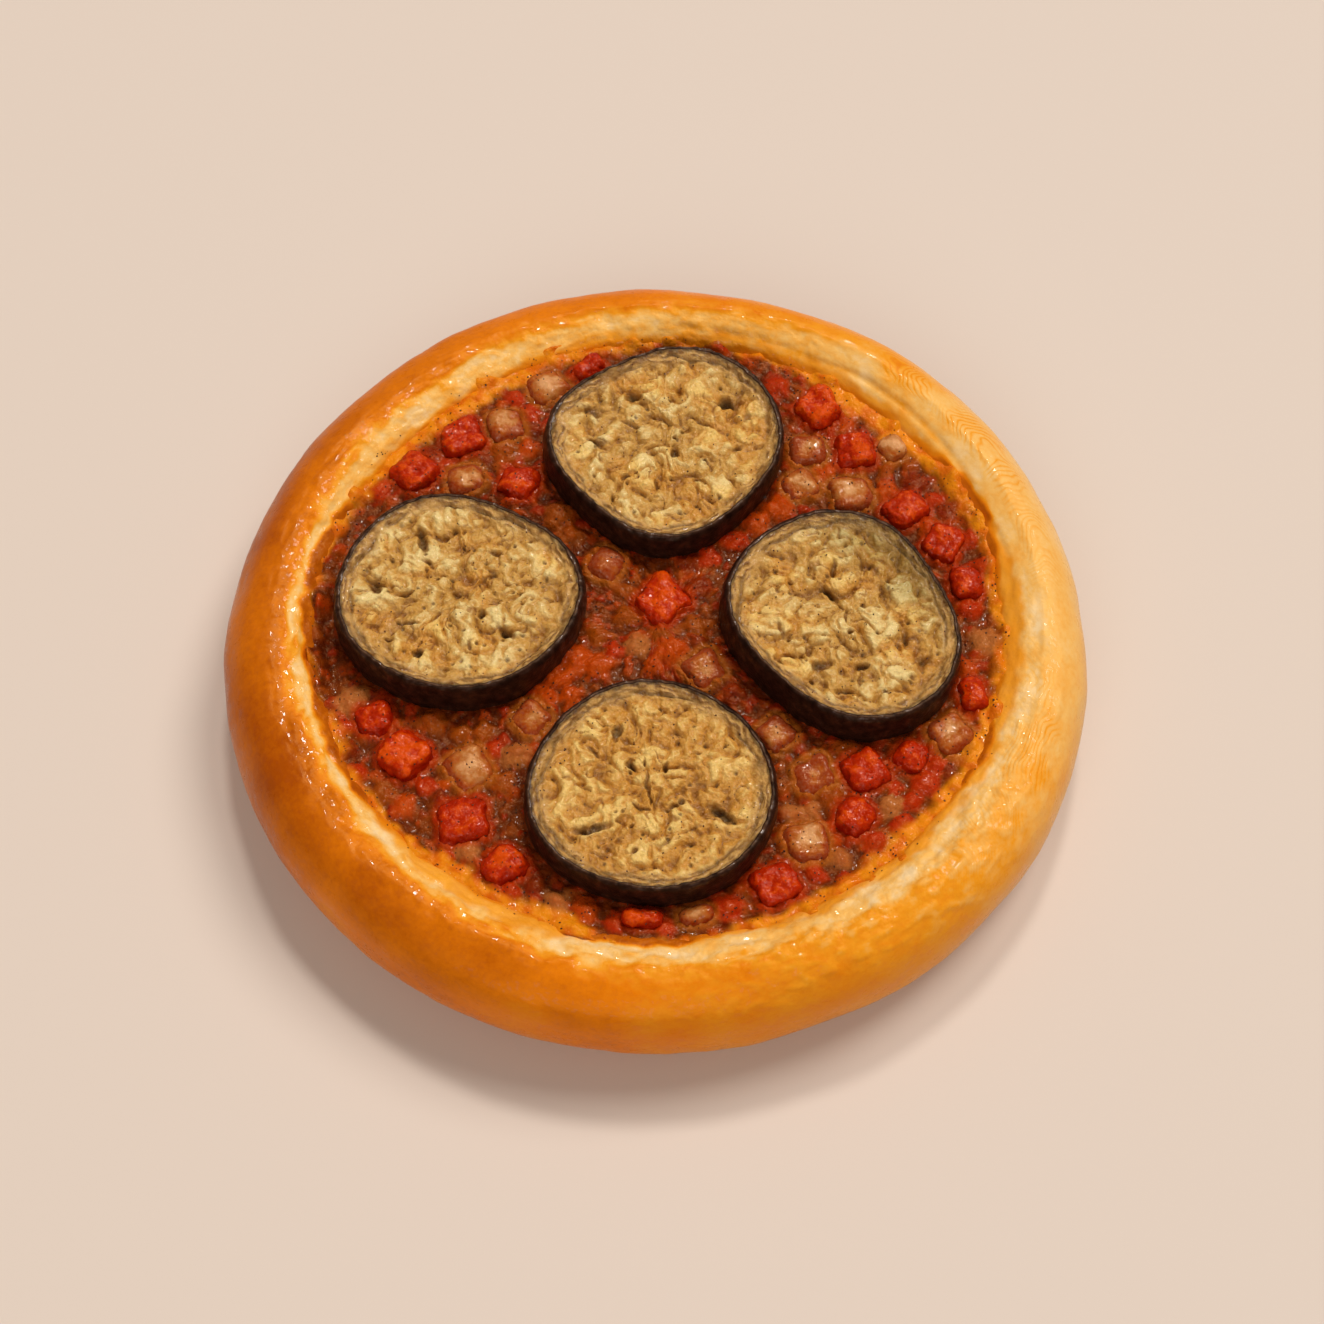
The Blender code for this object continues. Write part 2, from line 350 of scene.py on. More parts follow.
def paint_layer(mesh, name, values):
    """Store a number, or a row of three, on every point. Materials read it by its name."""
    values = np.asarray(values, float)
    kind, key = ("FLOAT", "value") if values.ndim == 1 else ("FLOAT_VECTOR", "vector")
    if name in mesh.attributes:
        mesh.attributes.remove(mesh.attributes[name])
    mesh.attributes.new(name, kind, "POINT").data.foreach_set(key, values.ravel())


def show(name, mesh, materials, instead_of=()):
    """Make the finished piece: it rides on the one body and stands for its CAD nodes."""
    piece = put(name, mesh)
    mesh.name = name
    for number, material in enumerate(materials):
        if number < len(mesh.materials):
            mesh.materials[number] = material
        else:
            mesh.materials.append(material)
    mesh.shade_smooth()
    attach(piece, "root")
    if instead_of:
        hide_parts(*instead_of)
    print(name, len(mesh.vertices), "points", sum(len(p.vertices) - 2 for p in mesh.polygons), "triangles")
    return piece


print("mesh tools ready")

# %% [markdown]
# ## Turning a profile
# The bread, the sauce and the slices are all turned shapes: a profile is carried round the middle. A
# Geometry Nodes tree does this by a rule. It makes a flat grid, and lays each point at the profile's radius
# and height and at its own share of the full turn. The seam and the two poles are then merged. Each point
# keeps its place along the profile as a layer named "row", so that later steps can speak of "the crest" or
# "the foot of the skin".

# %% The turning tree
turning, given, result = new_tree(
    "turned shape", "GeometryNodeTree",
    [("Profile", "NodeSocketGeometry", None), ("Points", "NodeSocketInt", 8),
     ("Steps Around", "NodeSocketInt", 64), ("Finish", "NodeSocketMaterial", None)],
    [("Geometry", "NodeSocketGeometry")])
across = plus(turning, given["Steps Around"], 1.0)
grid = add_node(turning, "GeometryNodeMeshGrid", Size_X=1.0, Size_Y=1.0, Vertices_X=across,
                Vertices_Y=given["Points"])
index = turning.nodes.new("GeometryNodeInputIndex").outputs[0]
column = maths(turning, "FLOOR", maths(turning, "DIVIDE", plus(turning, index, 0.5), given["Points"]))
row = minus(turning, index, times(turning, column, given["Points"]))
angle = times(turning, maths(turning, "DIVIDE", column, given["Steps Around"]), math.tau)
on_profile = turning.nodes.new("GeometryNodeInputPosition").outputs[0]
sample = add_node(turning, "GeometryNodeSampleIndex",
                  options={"data_type": "FLOAT_VECTOR", "domain": "POINT"},
                  Geometry=given["Profile"], Value=on_profile, Index=row)
split = add_node(turning, "ShaderNodeSeparateXYZ", (sample.outputs["Value"],))
place = add_node(turning, "ShaderNodeCombineXYZ", (
    times(turning, split.outputs["X"], maths(turning, "COSINE", angle)),
    times(turning, split.outputs["X"], maths(turning, "SINE", angle)), split.outputs["Z"]))
stored = add_node(turning, "GeometryNodeStoreNamedAttribute",
                  options={"data_type": "FLOAT", "domain": "POINT"},
                  Geometry=grid.outputs["Mesh"], Name="row", Value=row).outputs[0]
laid = add_node(turning, "GeometryNodeSetPosition", Geometry=stored, Position=place.outputs[0])
merged = add_node(turning, "GeometryNodeMergeByDistance", Geometry=laid.outputs[0], Distance=0.000002)
close_tree(turning, merged.outputs[0], given, result)
print("turning tree:", len(turning.nodes), "nodes")


# %% Turn a profile
def turned(name, profile, steps):
    """A closed mesh turned from (radius, height) points in mm, from the top's middle to the foot's."""
    line = bpy.data.meshes.new(name + "_profile")
    line.from_pydata([(radius * MM, 0.0, height * MM) for radius, height in profile], [], [])
    mesh = grow(line, turning, Points=len(profile), Steps_Around=steps)
    top = max(mesh.polygons, key=lambda face: face.center.z - abs(face.center.x) - abs(face.center.y))
    if top.normal.z < 0:
        mesh.flip_normals()
    return mesh


def even_path(points, gap):
    """Points about gap apart along a smooth curve through the given ones."""
    points = np.asarray(points, float)
    ends = np.vstack([2 * points[0] - points[1], points, 2 * points[-1] - points[-2]])
    dense = []
    for i in range(1, len(ends) - 2):
        p0, p1, p2, p3 = ends[i - 1:i + 3]
        for t in np.linspace(0.0, 1.0, 24, endpoint=False):
            dense.append(0.5 * (2 * p1 + (p2 - p0) * t + (2 * p0 - 5 * p1 + 4 * p2 - p3) * t ** 2
                                + (3 * p1 - p0 - 3 * p2 + p3) * t ** 3))
    dense = np.vstack(dense + [points[-1]])
    along = np.concatenate([[0.0], np.cumsum(np.hypot(*np.diff(dense, axis=0).T))])
    wanted = np.linspace(0.0, along[-1], max(2, int(round(along[-1] / gap)) + 1))
    return np.column_stack([np.interp(wanted, along, dense[:, 0]), np.interp(wanted, along, dense[:, 1])])


def waves(angle, terms):
    """The sum of cosine waves round a circle. A term is count, height and a high's direction in degrees."""
    return sum(height * np.cos(count * (angle - math.radians(direction)))
               for count, height, direction in terms)


print("profile of three points:", even_path([(0, 0), (1, 0), (2, 0)], 1.0).tolist())

# %% [markdown]
# ## The finishes
# Crust, sauce, tomato, onion, eggplant flesh and eggplant skin each get a material. Fine grain that several
# of them share is a node group: "wet grain" gives an uneven height and mask at a chosen size, and "pepper"
# gives small dark dots. What changes over a piece, such as how far the crust is baked, is painted on its
# points as a layer.

# %% Shared groups
grain_group, given, result = new_tree(
    "wet grain", "ShaderNodeTree",
    [("Vector", "NodeSocketVector", None), ("Size mm", "NodeSocketFloat", 1.0),
     ("Roughness", "NodeSocketFloat", 0.6)],
    [("Mask", "NodeSocketFloat"), ("Height", "NodeSocketFloat")])
scale = maths(grain_group, "DIVIDE", 1000.0, given["Size mm"])
fine = add_node(grain_group, "ShaderNodeTexNoise", Vector=given["Vector"], Scale=scale, Detail=4.0,
                Roughness=given["Roughness"])
lumpy = add_node(grain_group, "ShaderNodeTexVoronoi", Vector=given["Vector"],
                 Scale=times(grain_group, scale, 0.8))
height = minus(grain_group, times(grain_group, fine.outputs[0], 0.7),
               times(grain_group, lumpy.outputs["Distance"], 0.5))
grain_group.links.new(between(grain_group, fine.outputs[0], 0.36, 0.64), result["Mask"])
grain_group.links.new(height, result["Height"])

pepper_group, given, result = new_tree(
    "pepper", "ShaderNodeTree",
    [("Vector", "NodeSocketVector", None), ("Spacing mm", "NodeSocketFloat", 2.0),
     ("Size", "NodeSocketFloat", 0.1)],
    [("Mask", "NodeSocketFloat")])
scale = maths(pepper_group, "DIVIDE", 1000.0, given["Spacing mm"])
dots = add_node(pepper_group, "ShaderNodeTexVoronoi", Vector=given["Vector"], Scale=scale)
chance = add_node(pepper_group, "ShaderNodeSeparateColor", (dots.outputs["Color"],))
core = times(pepper_group, given["Size"], 0.6)
near = between(pepper_group, dots.outputs["Distance"], given["Size"], core)
kept = maths(pepper_group, "GREATER_THAN", chance.outputs[0], 0.62)
pepper_group.links.new(times(pepper_group, near, kept), result["Mask"])
print("groups:", [g.name for g in bpy.data.node_groups])


# %% Start a material
def new_finish(name, **values):
    """A material with one Principled shader. values set its plain inputs by name, with _ for a space."""
    material = bpy.data.materials.new(name)
    material.use_nodes = True
    tree = material.node_tree
    shader = tree.nodes["Principled BSDF"]
    for key, value in values.items():
        shader.inputs[key.replace("_", " ")].default_value = value
    return material, tree, shader


def feed(shader, name, socket):
    shader.id_data.links.new(socket, shader.inputs[name])


def object_place(tree):
    return tree.nodes.new("ShaderNodeTexCoord").outputs["Object"]


def painted(tree, name, output="Fac"):
    return add_node(tree, "ShaderNodeAttribute", options={"attribute_name": name}).outputs[output]


def grain(tree, where, size, roughness=0.6):
    made = add_node(tree, "ShaderNodeGroup", options={"node_tree": grain_group}, Vector=where, Size_mm=size,
                    Roughness=roughness)
    return made.outputs["Mask"], made.outputs["Height"]


def pepper(tree, where, spacing, size):
    return add_node(tree, "ShaderNodeGroup", options={"node_tree": pepper_group}, Vector=where,
                    Spacing_mm=spacing, Size=size).outputs["Mask"]


def speckled(tree, where, spacing, size, share, colour, dark):
    """The colour with small dark dots over it, of that spacing in mm, that size and that strength."""
    return blend_colours(tree, times(tree, pepper(tree, where, spacing, size), share), colour, dark)


def height_in_mm(tree, where):
    return times(tree, add_node(tree, "ShaderNodeSeparateXYZ", (where,)).outputs["Z"], 1000.0)


def glints(tree, mask, start):
    """A mask for wet spots: nothing below start and full soon above it, so that they glint crisply."""
    return between(tree, mask, start, start + 0.12)


def bump(tree, shader, height, depth_mm):
    made = add_node(tree, "ShaderNodeBump", Height=height, Distance=depth_mm * MM, Strength=1.0)
    feed(shader, "Normal", made.outputs[0])


print("material tools ready")

# %% [markdown]
# ## The crust
# The rim was brushed with egg and browned in the oven. It is drawn a deep orange brown at the left and pale
# at the right, partly from how far it browned and partly as painted shade at the left and painted light at
# the right. The right has fine wrinkles like wood grain, and the near right is blistered in small cream
# patches. The inner slope is pale dough with long soft ridges, and orange oil from the sauce has soaked into
# its foot. All this is one ramp from dough to dark crust, driven by a painted layer of browning and shade and
# by noise that follows the ring. The egg wash is a thin transparent coat that shows only in small wet spots,
# so that it reflects as crisp glints.

# %% Crust material
crust, tree, shader = new_finish("crust", Specular_IOR_Level=0.20, Specular_Tint=(1.0, 0.64, 0.18, 1.0),
                                 Coat_Roughness=0.06, Coat_IOR=1.3)
ring_place = painted(tree, "ring", "Vector")
bake_and_shade = painted(tree, "bake_and_shade")
oil = painted(tree, "oil")
swirl = painted(tree, "swirl")
wrinkled = painted(tree, "wrinkled")
fine_mask, fine_height = grain(tree, ring_place, 0.8)
coarse_mask, coarse_height = grain(tree, ring_place, 2.0)
broad = add_node(tree, "ShaderNodeTexNoise", Vector=ring_place, Scale=150.0, Detail=3.0, Roughness=0.5)
wave_high = times_plus(tree, maths(tree, "SINE", painted(tree, "chevron")), 0.5, 0.5)
lines = times(tree, maths(tree, "POWER", wave_high, 2.5), swirl)
# Painted light and shade: the layer of browning also darkens the left of the ring and pales the right.
baked_and_shaded = times_plus(tree, minus(tree, broad.outputs[0], 0.5), 0.22, bake_and_shade)
baked_and_shaded = times_plus(tree, lines, 0.20, baked_and_shaded)
mottle = times_plus(tree, wrinkled, 0.11, 0.04)
baked_and_shaded = times_plus(tree, minus(tree, coarse_mask, 0.5), mottle, baked_and_shaded)
baked_and_shaded = times_plus(tree, minus(tree, fine_mask, 0.5), 0.06, baked_and_shaded)
dough = ramp(tree, baked_and_shaded, ((0.0, (0.83, 0.57, 0.285)), (0.20, (0.81, 0.435, 0.112)),
                           (0.42, (0.79, 0.285, 0.012)), (0.66, (0.71, 0.175, 0.002)),
                           (1.0, (0.36, 0.062, 0.001))))
oil_depth = times(tree, bake_and_shade, 2.2, clamp=True)
amber = blend_colours(tree, oil_depth, (0.86, 0.34, 0.014), (0.68, 0.185, 0.004))
soaked = blend_colours(tree, times(tree, oil, 0.90), dough, amber)
specked = speckled(tree, object_place(tree), 2.4, 0.10, oil, soaked, (0.16, 0.030, 0.004))
feed(shader, "Base Color", specked)
feed(shader, "Roughness", times_plus(tree, coarse_mask, -0.16, 0.42))
gloss = times_plus(tree, wrinkled, 0.60, 0.40)
feed(shader, "Coat Weight", times(tree, glints(tree, fine_mask, 0.70), gloss))
skin_relief = times(tree, fine_height, times_plus(tree, wrinkled, 0.40, 0.14))
relief = times_plus(tree, coarse_height, times_plus(tree, wrinkled, 0.80, 0.06), skin_relief)
relief = times_plus(tree, lines, -0.10, relief)
bump(tree, shader, relief, 0.32)
print("crust:", len(tree.nodes), "nodes")

# %% [markdown]
# ## The bread
# The bread is one turned shape whose outline and crest wave a little, as in the CAD model. The same rule is
# used here with a much finer profile. Then the surface is moved along its normal: broad swells and shallow
# dents on the crest, long ridges and streaks on the inner slope, a soft step at the back right and blisters
# at the near right. The colour of browning together with painted shade and light, the oil and the stains of
# the sauce are painted on the same points, so they follow the shape.

# %% Bread sizes
BREAD_RADIUS = 79.2
RIM_HEIGHT = 22.0
CREST_RADIUS = 70.0
BELLY_HEIGHT = 11.0
BELLY_POWER = 2.2
WELL_RADIUS = 62.2
WELL_FOOT_RADIUS = 60.4
WELL_FLOOR = 10.5
WELL_SHIFT = (0.5, 1.1)
SAUCE_EDGE_HEIGHT = 18.3
CREST_WAVES = ((2, 0.35, 200.0), (3, 0.45, 65.0), (5, 0.25, 10.0))
OUTLINE_WAVES = ((2, 0.4, 0.0), (3, 0.25, 205.0), (5, 0.15, 40.0))
BREAD_STEPS = 840
FINE_GAP = 0.42
COARSE_GAP = 0.95


def flank(degrees):
    """The rim's outer side: 90 degrees is the crest, 0 the widest place and -90 the underside."""
    turn = math.radians(degrees)
    out = math.copysign(abs(math.cos(turn)) ** (2.0 / BELLY_POWER), math.cos(turn))
    up = math.copysign(abs(math.sin(turn)) ** (2.0 / BELLY_POWER), math.sin(turn))
    return (CREST_RADIUS + (BREAD_RADIUS - CREST_RADIUS) * out,
            BELLY_HEIGHT + (RIM_HEIGHT - BELLY_HEIGHT if up > 0 else BELLY_HEIGHT) * up)


def bread_shape(points):
    """Move the points of the plain turned bread to the slightly uneven one, as the CAD model does."""
    radius = np.hypot(points[:, 0], points[:, 1])
    angle = np.arctan2(points[:, 1], points[:, 0])
    shift = (1.0 - ease(66.0, 79.0, radius)) * np.minimum(1.0, radius / WELL_FOOT_RADIUS)
    swell = waves(angle, OUTLINE_WAVES) * ease(WELL_FOOT_RADIUS, BREAD_RADIUS, radius)
    rise = waves(angle, CREST_WAVES) * ease(SAUCE_EDGE_HEIGHT, RIM_HEIGHT, points[:, 2])
    scale = 1.0 + swell / np.maximum(radius, 1.0)
    return np.column_stack([points[:, 0] * scale + WELL_SHIFT[0] * shift,
                            points[:, 1] * scale + WELL_SHIFT[1] * shift, points[:, 2] + rise])


slope = even_path([(WELL_FOOT_RADIUS, WELL_FLOOR), (61.8, 15.8), (62.4, 18.5), (64.0, 20.0), (66.4, 21.1),
                   (CREST_RADIUS, RIM_HEIGHT)], FINE_GAP)
slope = slope[slope[:, 1] > 16.0]
upper_side = even_path([flank(d) for d in range(90, -1, -6)], FINE_GAP)
lower_side = even_path([flank(d) for d in range(0, -91, -6)], COARSE_GAP)
hidden_floor = [(0.0, WELL_FLOOR), (50.0, WELL_FLOOR), (WELL_FOOT_RADIUS, WELL_FLOOR), (61.2, 13.4)]
underside = [(r, 0.0) for r in (66.0, 50.0, 0.0)]
bread_profile = np.vstack([hidden_floor, slope, upper_side[1:], lower_side[1:], underside])
profile_length = np.concatenate([[0.0], np.cumsum(np.hypot(*np.diff(bread_profile, axis=0).T))])
CREST_PLACE = profile_length[len(hidden_floor) + len(slope) - 1]
print("bread profile:", len(bread_profile), "points, crest at", round(CREST_PLACE, 1))


# %% Shape and paint the bread
def ring_height(direction, width):
    """1 on the bread in a direction, in degrees, falling to 0 at width degrees from it."""
    return facing(np.degrees(bread_angle), direction, width)


bread_mesh = turned("bread", bread_profile, BREAD_STEPS)
plain = points_of(bread_mesh)
bread_angle = np.arctan2(plain[:, 1], plain[:, 0])
along_profile = np.interp(read_layer(bread_mesh, "row"), np.arange(len(profile_length)), profile_length)
past_crest = along_profile - CREST_PLACE
move_points(bread_mesh, bread_shape(plain))
shaped, outward = points_of(bread_mesh), normals_of(bread_mesh)

# Patterns that follow the ring turn with it. They are bent by noise, so that no line runs true round the
# ring.
PATTERN_RADIUS = 58.0
ring_co = np.column_stack([PATTERN_RADIUS * np.cos(bread_angle), PATTERN_RADIUS * np.sin(bread_angle),
                           past_crest])
wander = np.column_stack([soft_noise(ring_co, 7.0, seed) for seed in (12, 13, 14)])
bent_ring = ring_co + 2.2 * wander
streak_co = ring_co * (0.42, 0.42, 1.0) + 1.2 * wander
streaks = 0.8 * soft_noise(streak_co, 2.4, 24) + 0.7 * soft_noise(streak_co, 1.1, 25)
seen = ease(-12.0, -10.0, past_crest) * ease(28.0, 22.0, past_crest)
slope_mask = ease(-11.0, -9.0, past_crest) * ease(3.0, -3.0, past_crest)
lower_right = ring_height(308.0, 62.0)
pale_side = ring_height(25.0, 75.0)
swells = 0.40 * soft_noise(shaped, 17.0, 3) + 0.15 * soft_noise(shaped, 7.0, 4)
dents = 0.05 * rough_noise(shaped, 2.6, 3, 5)
ridges = rough_noise(bent_ring * (1.0, 1.0, 1.3), 7.0, 2, 8)
folds = 0.6 * billow(bent_ring, 4.2, 2, 9) + 0.5 * streaks
# A soft step at the back right. The groove below it is drawn darker, which is painted shade.
step_line = past_crest + 5.2 + 1.1 * soft_noise(ring_co, 12.0, 35)
terrace = ring_height(48.0, 75.0) * ease(1.3, 0.0, np.abs(step_line))
streak_band = ease(-9.0, -5.0, past_crest) * ease(5.0, 0.5, past_crest) * (1.0 - 0.85 * pale_side)
blister_band = lower_right * ease(-4.5, -1.0, past_crest) * ease(12.0, 3.0, past_crest)
blisters = ease(0.02, 0.40, soft_noise(ring_co * (0.62, 0.62, 1.0) + 0.9 * wander, 1.6, 26)) * blister_band
pimples = ease(0.30, 0.55, soft_noise(ring_co, 1.9, 27)) * ease(-0.1, 0.4, soft_noise(ring_co, 8.0, 10))
lift = ((swells + dents) * ease(-8.0, 0.0, past_crest)
        + slope_mask * (1.0 - 0.72 * pale_side) * (0.30 * ridges + 0.34 * (folds - 0.4))
        + 0.32 * blisters + 0.18 * streaks * streak_band - 0.38 * terrace
        + 0.16 * pimples * ease(-9.0, -6.0, past_crest) * ease(5.0, 0.0, past_crest) * (1.0 - pale_side))
move_points(bread_mesh, shaped + outward * (lift * seen)[:, None])

# Where sauce has boiled up on the slope and darkens its foot, which at the left beside the slice is also
# painted
# shade: direction and half width in degrees, and how far up in millimetres.
STAINS = ((176.0, 32.0, 2.6), (207.0, 18.0, 1.7), (267.0, 14.0, 2.0), (22.0, 18.0, 2.6), (334.0, 12.0, 1.4),
          (132.0, 36.0, -1.0))

# How dark the crust is drawn in each direction: the left most, the back and the front next, the right least.
# This is partly how far it browned and partly painted shade at the left and painted light at the right.
heat_and_shade = (0.36 + 0.40 * ring_height(186.0, 100.0) + 0.16 * ring_height(128.0, 55.0)
       + 0.17 * ring_height(262.0, 62.0) + 0.04 * ring_height(315.0, 45.0)
       + 0.17 * ring_height(88.0, 48.0) - 0.24 * ring_height(10.0, 80.0))
reach = 0.6 + 1.5 * ring_height(130.0, 60.0) + 2.1 * ring_height(210.0, 85.0)
crest_edge = reach + 0.9 * soft_noise(bent_ring, 9.0, 21) + (1.5 - 0.2 * lower_right) * streaks
top_share = 0.70 * ease(-2.0, 1.4, past_crest + crest_edge) + 0.30 * ease(-2.0, 5.0, past_crest + crest_edge)
belly = ease(11.0, 24.0, past_crest)
stain_reach = sum(high * ring_height(direction, width) for direction, width, high in STAINS)
# Darker towards the foot of the slope, most where sauce has boiled up; at the left beside the slice this is
# painted shade as well as the sauce's colour.
stain_and_shade = (ease(-6.4, -8.2, past_crest - stain_reach + 1.0 * soft_noise(ring_co, 3.0, 33))
         * (0.35 + 0.65 * np.clip(stain_reach, 0.0, 1.0)))
patches = 0.16 * ring_height(200.0, 110.0) * soft_noise(ring_co, 15.0, 36) * ease(-3.0, 2.0, past_crest)
# The crest is drawn darker still at the left: browning and painted shade together.
crest_band = 0.16 * ring_height(216.0, 66.0) * ease(-3.5, 0.0, past_crest) * ease(10.0, 5.0, past_crest)
slope_bake = (0.18 + 0.10 * ring_height(85.0, 60.0) + 0.04 * ring_height(150.0, 40.0)
              - 0.04 * ring_height(215.0, 40.0) + 0.12 * soft_noise(ring_co, 5.5, 38))
bake_and_shade_layer = ((slope_bake + (heat_and_shade - 0.6 * slope_bake) * top_share + patches + crest_band)
              * (1.0 - (0.18 + 0.20 * ring_height(105.0, 50.0)) * belly) + 0.05 * soft_noise(shaped, 9.0, 23)
              + stain_and_shade + 0.06 * streaks * slope_mask - 0.10 * blisters + 0.10 * terrace)
oil_spread = (1.5 * soft_noise(ring_co, 6.0, 31) + 1.2 * soft_noise(ring_co, 2.2, 32)
              - 2.8 * ring_height(356.0, 45.0) - 2.4 * ring_height(240.0, 24.0)
              - 0.8 * ring_height(300.0, 30.0)
              + 1.2 * ring_height(132.0, 40.0))
oil_layer = ease(-5.2, -7.0, past_crest + oil_spread) * (1.0 - 0.8 * stain_and_shade)
wood_side = ring_height(336.0, 34.0)
back_swirl = (ring_height(38.0, 50.0) * ease(-2.2, 0.0, past_crest) * ease(7.0, 4.0, past_crest)
              * ease(-0.40, 0.15, soft_noise(ring_co, 9.0, 28)))
right_swirl = (0.7 * ring_height(338.0, 36.0) * ease(-4.0, -1.5, past_crest) * ease(7.0, 3.5, past_crest)
               * ease(-0.4, 0.3, soft_noise(ring_co, 5.0, 39)))
swirl_layer = np.maximum(back_swirl, right_swirl)
bow = np.hypot(past_crest - 2.0 + 1.8 * wander[:, 0], 0.8)
chevron = (mix(bread_angle * 70.0 + 1.3 * bow, bread_angle * 10.0 + 1.7 * past_crest, wood_side)
           + 3.6 * wander[:, 1] + 1.4 * soft_noise(ring_co, 2.6, 29)) * math.tau / 1.5
wrinkled_layer = slope_mask * (1.0 - 0.75 * pale_side) + 0.55 * lower_right * ease(12.0, 4.0, past_crest)
for title, values in (("bake_and_shade", bake_and_shade_layer), ("oil", oil_layer), ("swirl", swirl_layer),
                      ("wrinkled", wrinkled_layer)):
    paint_layer(bread_mesh, title, np.clip(values, 0.0, 1.0))
paint_layer(bread_mesh, "chevron", chevron)
paint_layer(bread_mesh, "ring", ring_co * MM)
sprinkle_edge = past_crest + 2.5 * soft_noise(ring_co, 5.0, 34)
paint_layer(bread_mesh, "sprinkle", ease(-6.0, -8.5, sprinkle_edge) * (past_crest > -12.0))
bread = show("sfiha_bread", bread_mesh, [crust], ("bread",))

# %% [markdown]
# ## Tomato and onion dice
# The knife left cubes, and cooking made them slump: corners round off, faces bulge and wrinkle. One
# Geometry Nodes tree does that to every CAD die. It merges the die's loose triangles and takes it through a
# volume, which gives an even mesh. Blurring the points' places rounds the corners, and noise at two sizes
# pushes the surface. Tomato gets deeper wrinkles than onion, and every die its own seed. The tree also
# stores how far out each point is, because a cooked onion die is drawn pale and translucent in the middle
# of its top and darker towards its foot and sides: partly the sauce's colour taken up there, partly painted
# light and shade.

# %% The cooking tree
cooking, given, result = new_tree(
    "cooked die", "GeometryNodeTree",
    [("Die", "NodeSocketGeometry", None), ("Voxel", "NodeSocketFloat", 0.00032),
     ("Softness", "NodeSocketInt", 10), ("Slump", "NodeSocketFloat", 0.6),
     ("Wrinkle", "NodeSocketFloat", 0.2), ("Seed", "NodeSocketFloat", 0.0),
     ("Finish", "NodeSocketMaterial", None)],
    [("Geometry", "NodeSocketGeometry")])
joined = add_node(cooking, "GeometryNodeMergeByDistance", Geometry=given["Die"], Distance=0.00001)
filled = add_node(cooking, "GeometryNodeMeshToVolume", options={"resolution_mode": "VOXEL_SIZE"},
                  Mesh=joined.outputs[0], Voxel_Size=given["Voxel"], Interior_Band_Width=0.0008)
shell = add_node(cooking, "GeometryNodeVolumeToMesh", options={"resolution_mode": "GRID"},
                 Volume=filled.outputs[0], Threshold=0.1)
position = cooking.nodes.new("GeometryNodeInputPosition").outputs[0]
softened = add_node(cooking, "GeometryNodeBlurAttribute", options={"data_type": "FLOAT_VECTOR"})
vector_input = [s for s in softened.inputs if s.name == "Value" and s.type == "VECTOR"][0]
vector_output = [s for s in softened.outputs if s.type == "VECTOR"][0]
cooking.links.new(position, vector_input)
cooking.links.new(given["Softness"], softened.inputs["Iterations"])
current = add_node(cooking, "GeometryNodeSetPosition", Geometry=shell.outputs[0],
                   Position=vector_output).outputs[0]
for size_mm, amount, detail in ((4.4, given["Slump"], 0.0), (1.7, given["Wrinkle"], 2.0)):
    noise = add_node(cooking, "ShaderNodeTexNoise", options={"noise_dimensions": "4D"}, W=given["Seed"],
                     Scale=1000.0 / size_mm, Detail=detail, Roughness=0.6)
    signed = minus(cooking, noise.outputs[0], 0.5)
    push = times(cooking, times(cooking, signed, amount), 2.0 * MM)
    normal = cooking.nodes.new("GeometryNodeInputNormal").outputs[0]
    along = add_node(cooking, "ShaderNodeVectorMath", (normal,), {"operation": "SCALE"}, Scale=push)
    current = add_node(cooking, "GeometryNodeSetPosition", Geometry=current,
                       Offset=along.outputs[0]).outputs[0]
bounds = add_node(cooking, "GeometryNodeBoundBox", Geometry=joined.outputs[0])
middle = add_node(cooking, "ShaderNodeVectorMath",
                  (add_node(cooking, "ShaderNodeVectorMath", (bounds.outputs["Min"], bounds.outputs["Max"]),
                            {"operation": "ADD"}).outputs[0],), {"operation": "SCALE"}, Scale=0.5)
away = add_node(cooking, "ShaderNodeVectorMath", (position, middle.outputs[0]), {"operation": "SUBTRACT"})
level = add_node(cooking, "ShaderNodeVectorMath", (away.outputs[0], (1.0, 1.0, 0.0)),
                 {"operation": "MULTIPLY"})
distance = add_node(cooking, "ShaderNodeVectorMath", (level.outputs[0],), {"operation": "LENGTH"})
current = add_node(cooking, "GeometryNodeStoreNamedAttribute",
                   options={"data_type": "FLOAT", "domain": "POINT"}, Geometry=current, Name="out",
                   Value=distance.outputs["Value"]).outputs[0]
close_tree(cooking, current, given, result)
print("cooking tree:", len(cooking.nodes), "nodes")

# %% Tomato material
tomato, tree, shader = new_finish("tomato", Roughness=0.16, Specular_IOR_Level=0.20,
                                  Specular_Tint=(1.0, 0.55, 0.36, 1.0), Subsurface_Weight=0.08,
                                  Subsurface_Scale=0.0012, Coat_Roughness=0.05, Coat_IOR=1.3)
shader.inputs["Subsurface Radius"].default_value = (1.0, 0.12, 0.03)
where = object_place(tree)
height_mm = height_in_mm(tree, where)
coarse_mask, coarse_height = grain(tree, where, 1.7)
fine_mask, fine_height = grain(tree, where, 0.6)
up_mm = times_plus(tree, coarse_mask, 1.8, height_mm)
top_light = between(tree, up_mm, 18.4, 22.8)
red = ramp(tree, top_light, ((0.0, (0.11, 0.003, 0.001)), (0.40, (0.27, 0.007, 0.000)),
                             (0.75, (0.45, 0.020, 0.000)), (1.0, (0.66, 0.066, 0.001))))
shaded = blend_colours(tree, times(tree, minus(tree, 1.0, fine_mask), 0.26), red, (0.22, 0.004, 0.001))
feed(shader, "Base Color", speckled(tree, where, 2.0, 0.10, 0.8, shaded, (0.04, 0.006, 0.002)))
feed(shader, "Coat Weight", glints(tree, fine_mask, 0.74))
bump(tree, shader, times_plus(tree, fine_height, 0.30, coarse_height), 0.50)

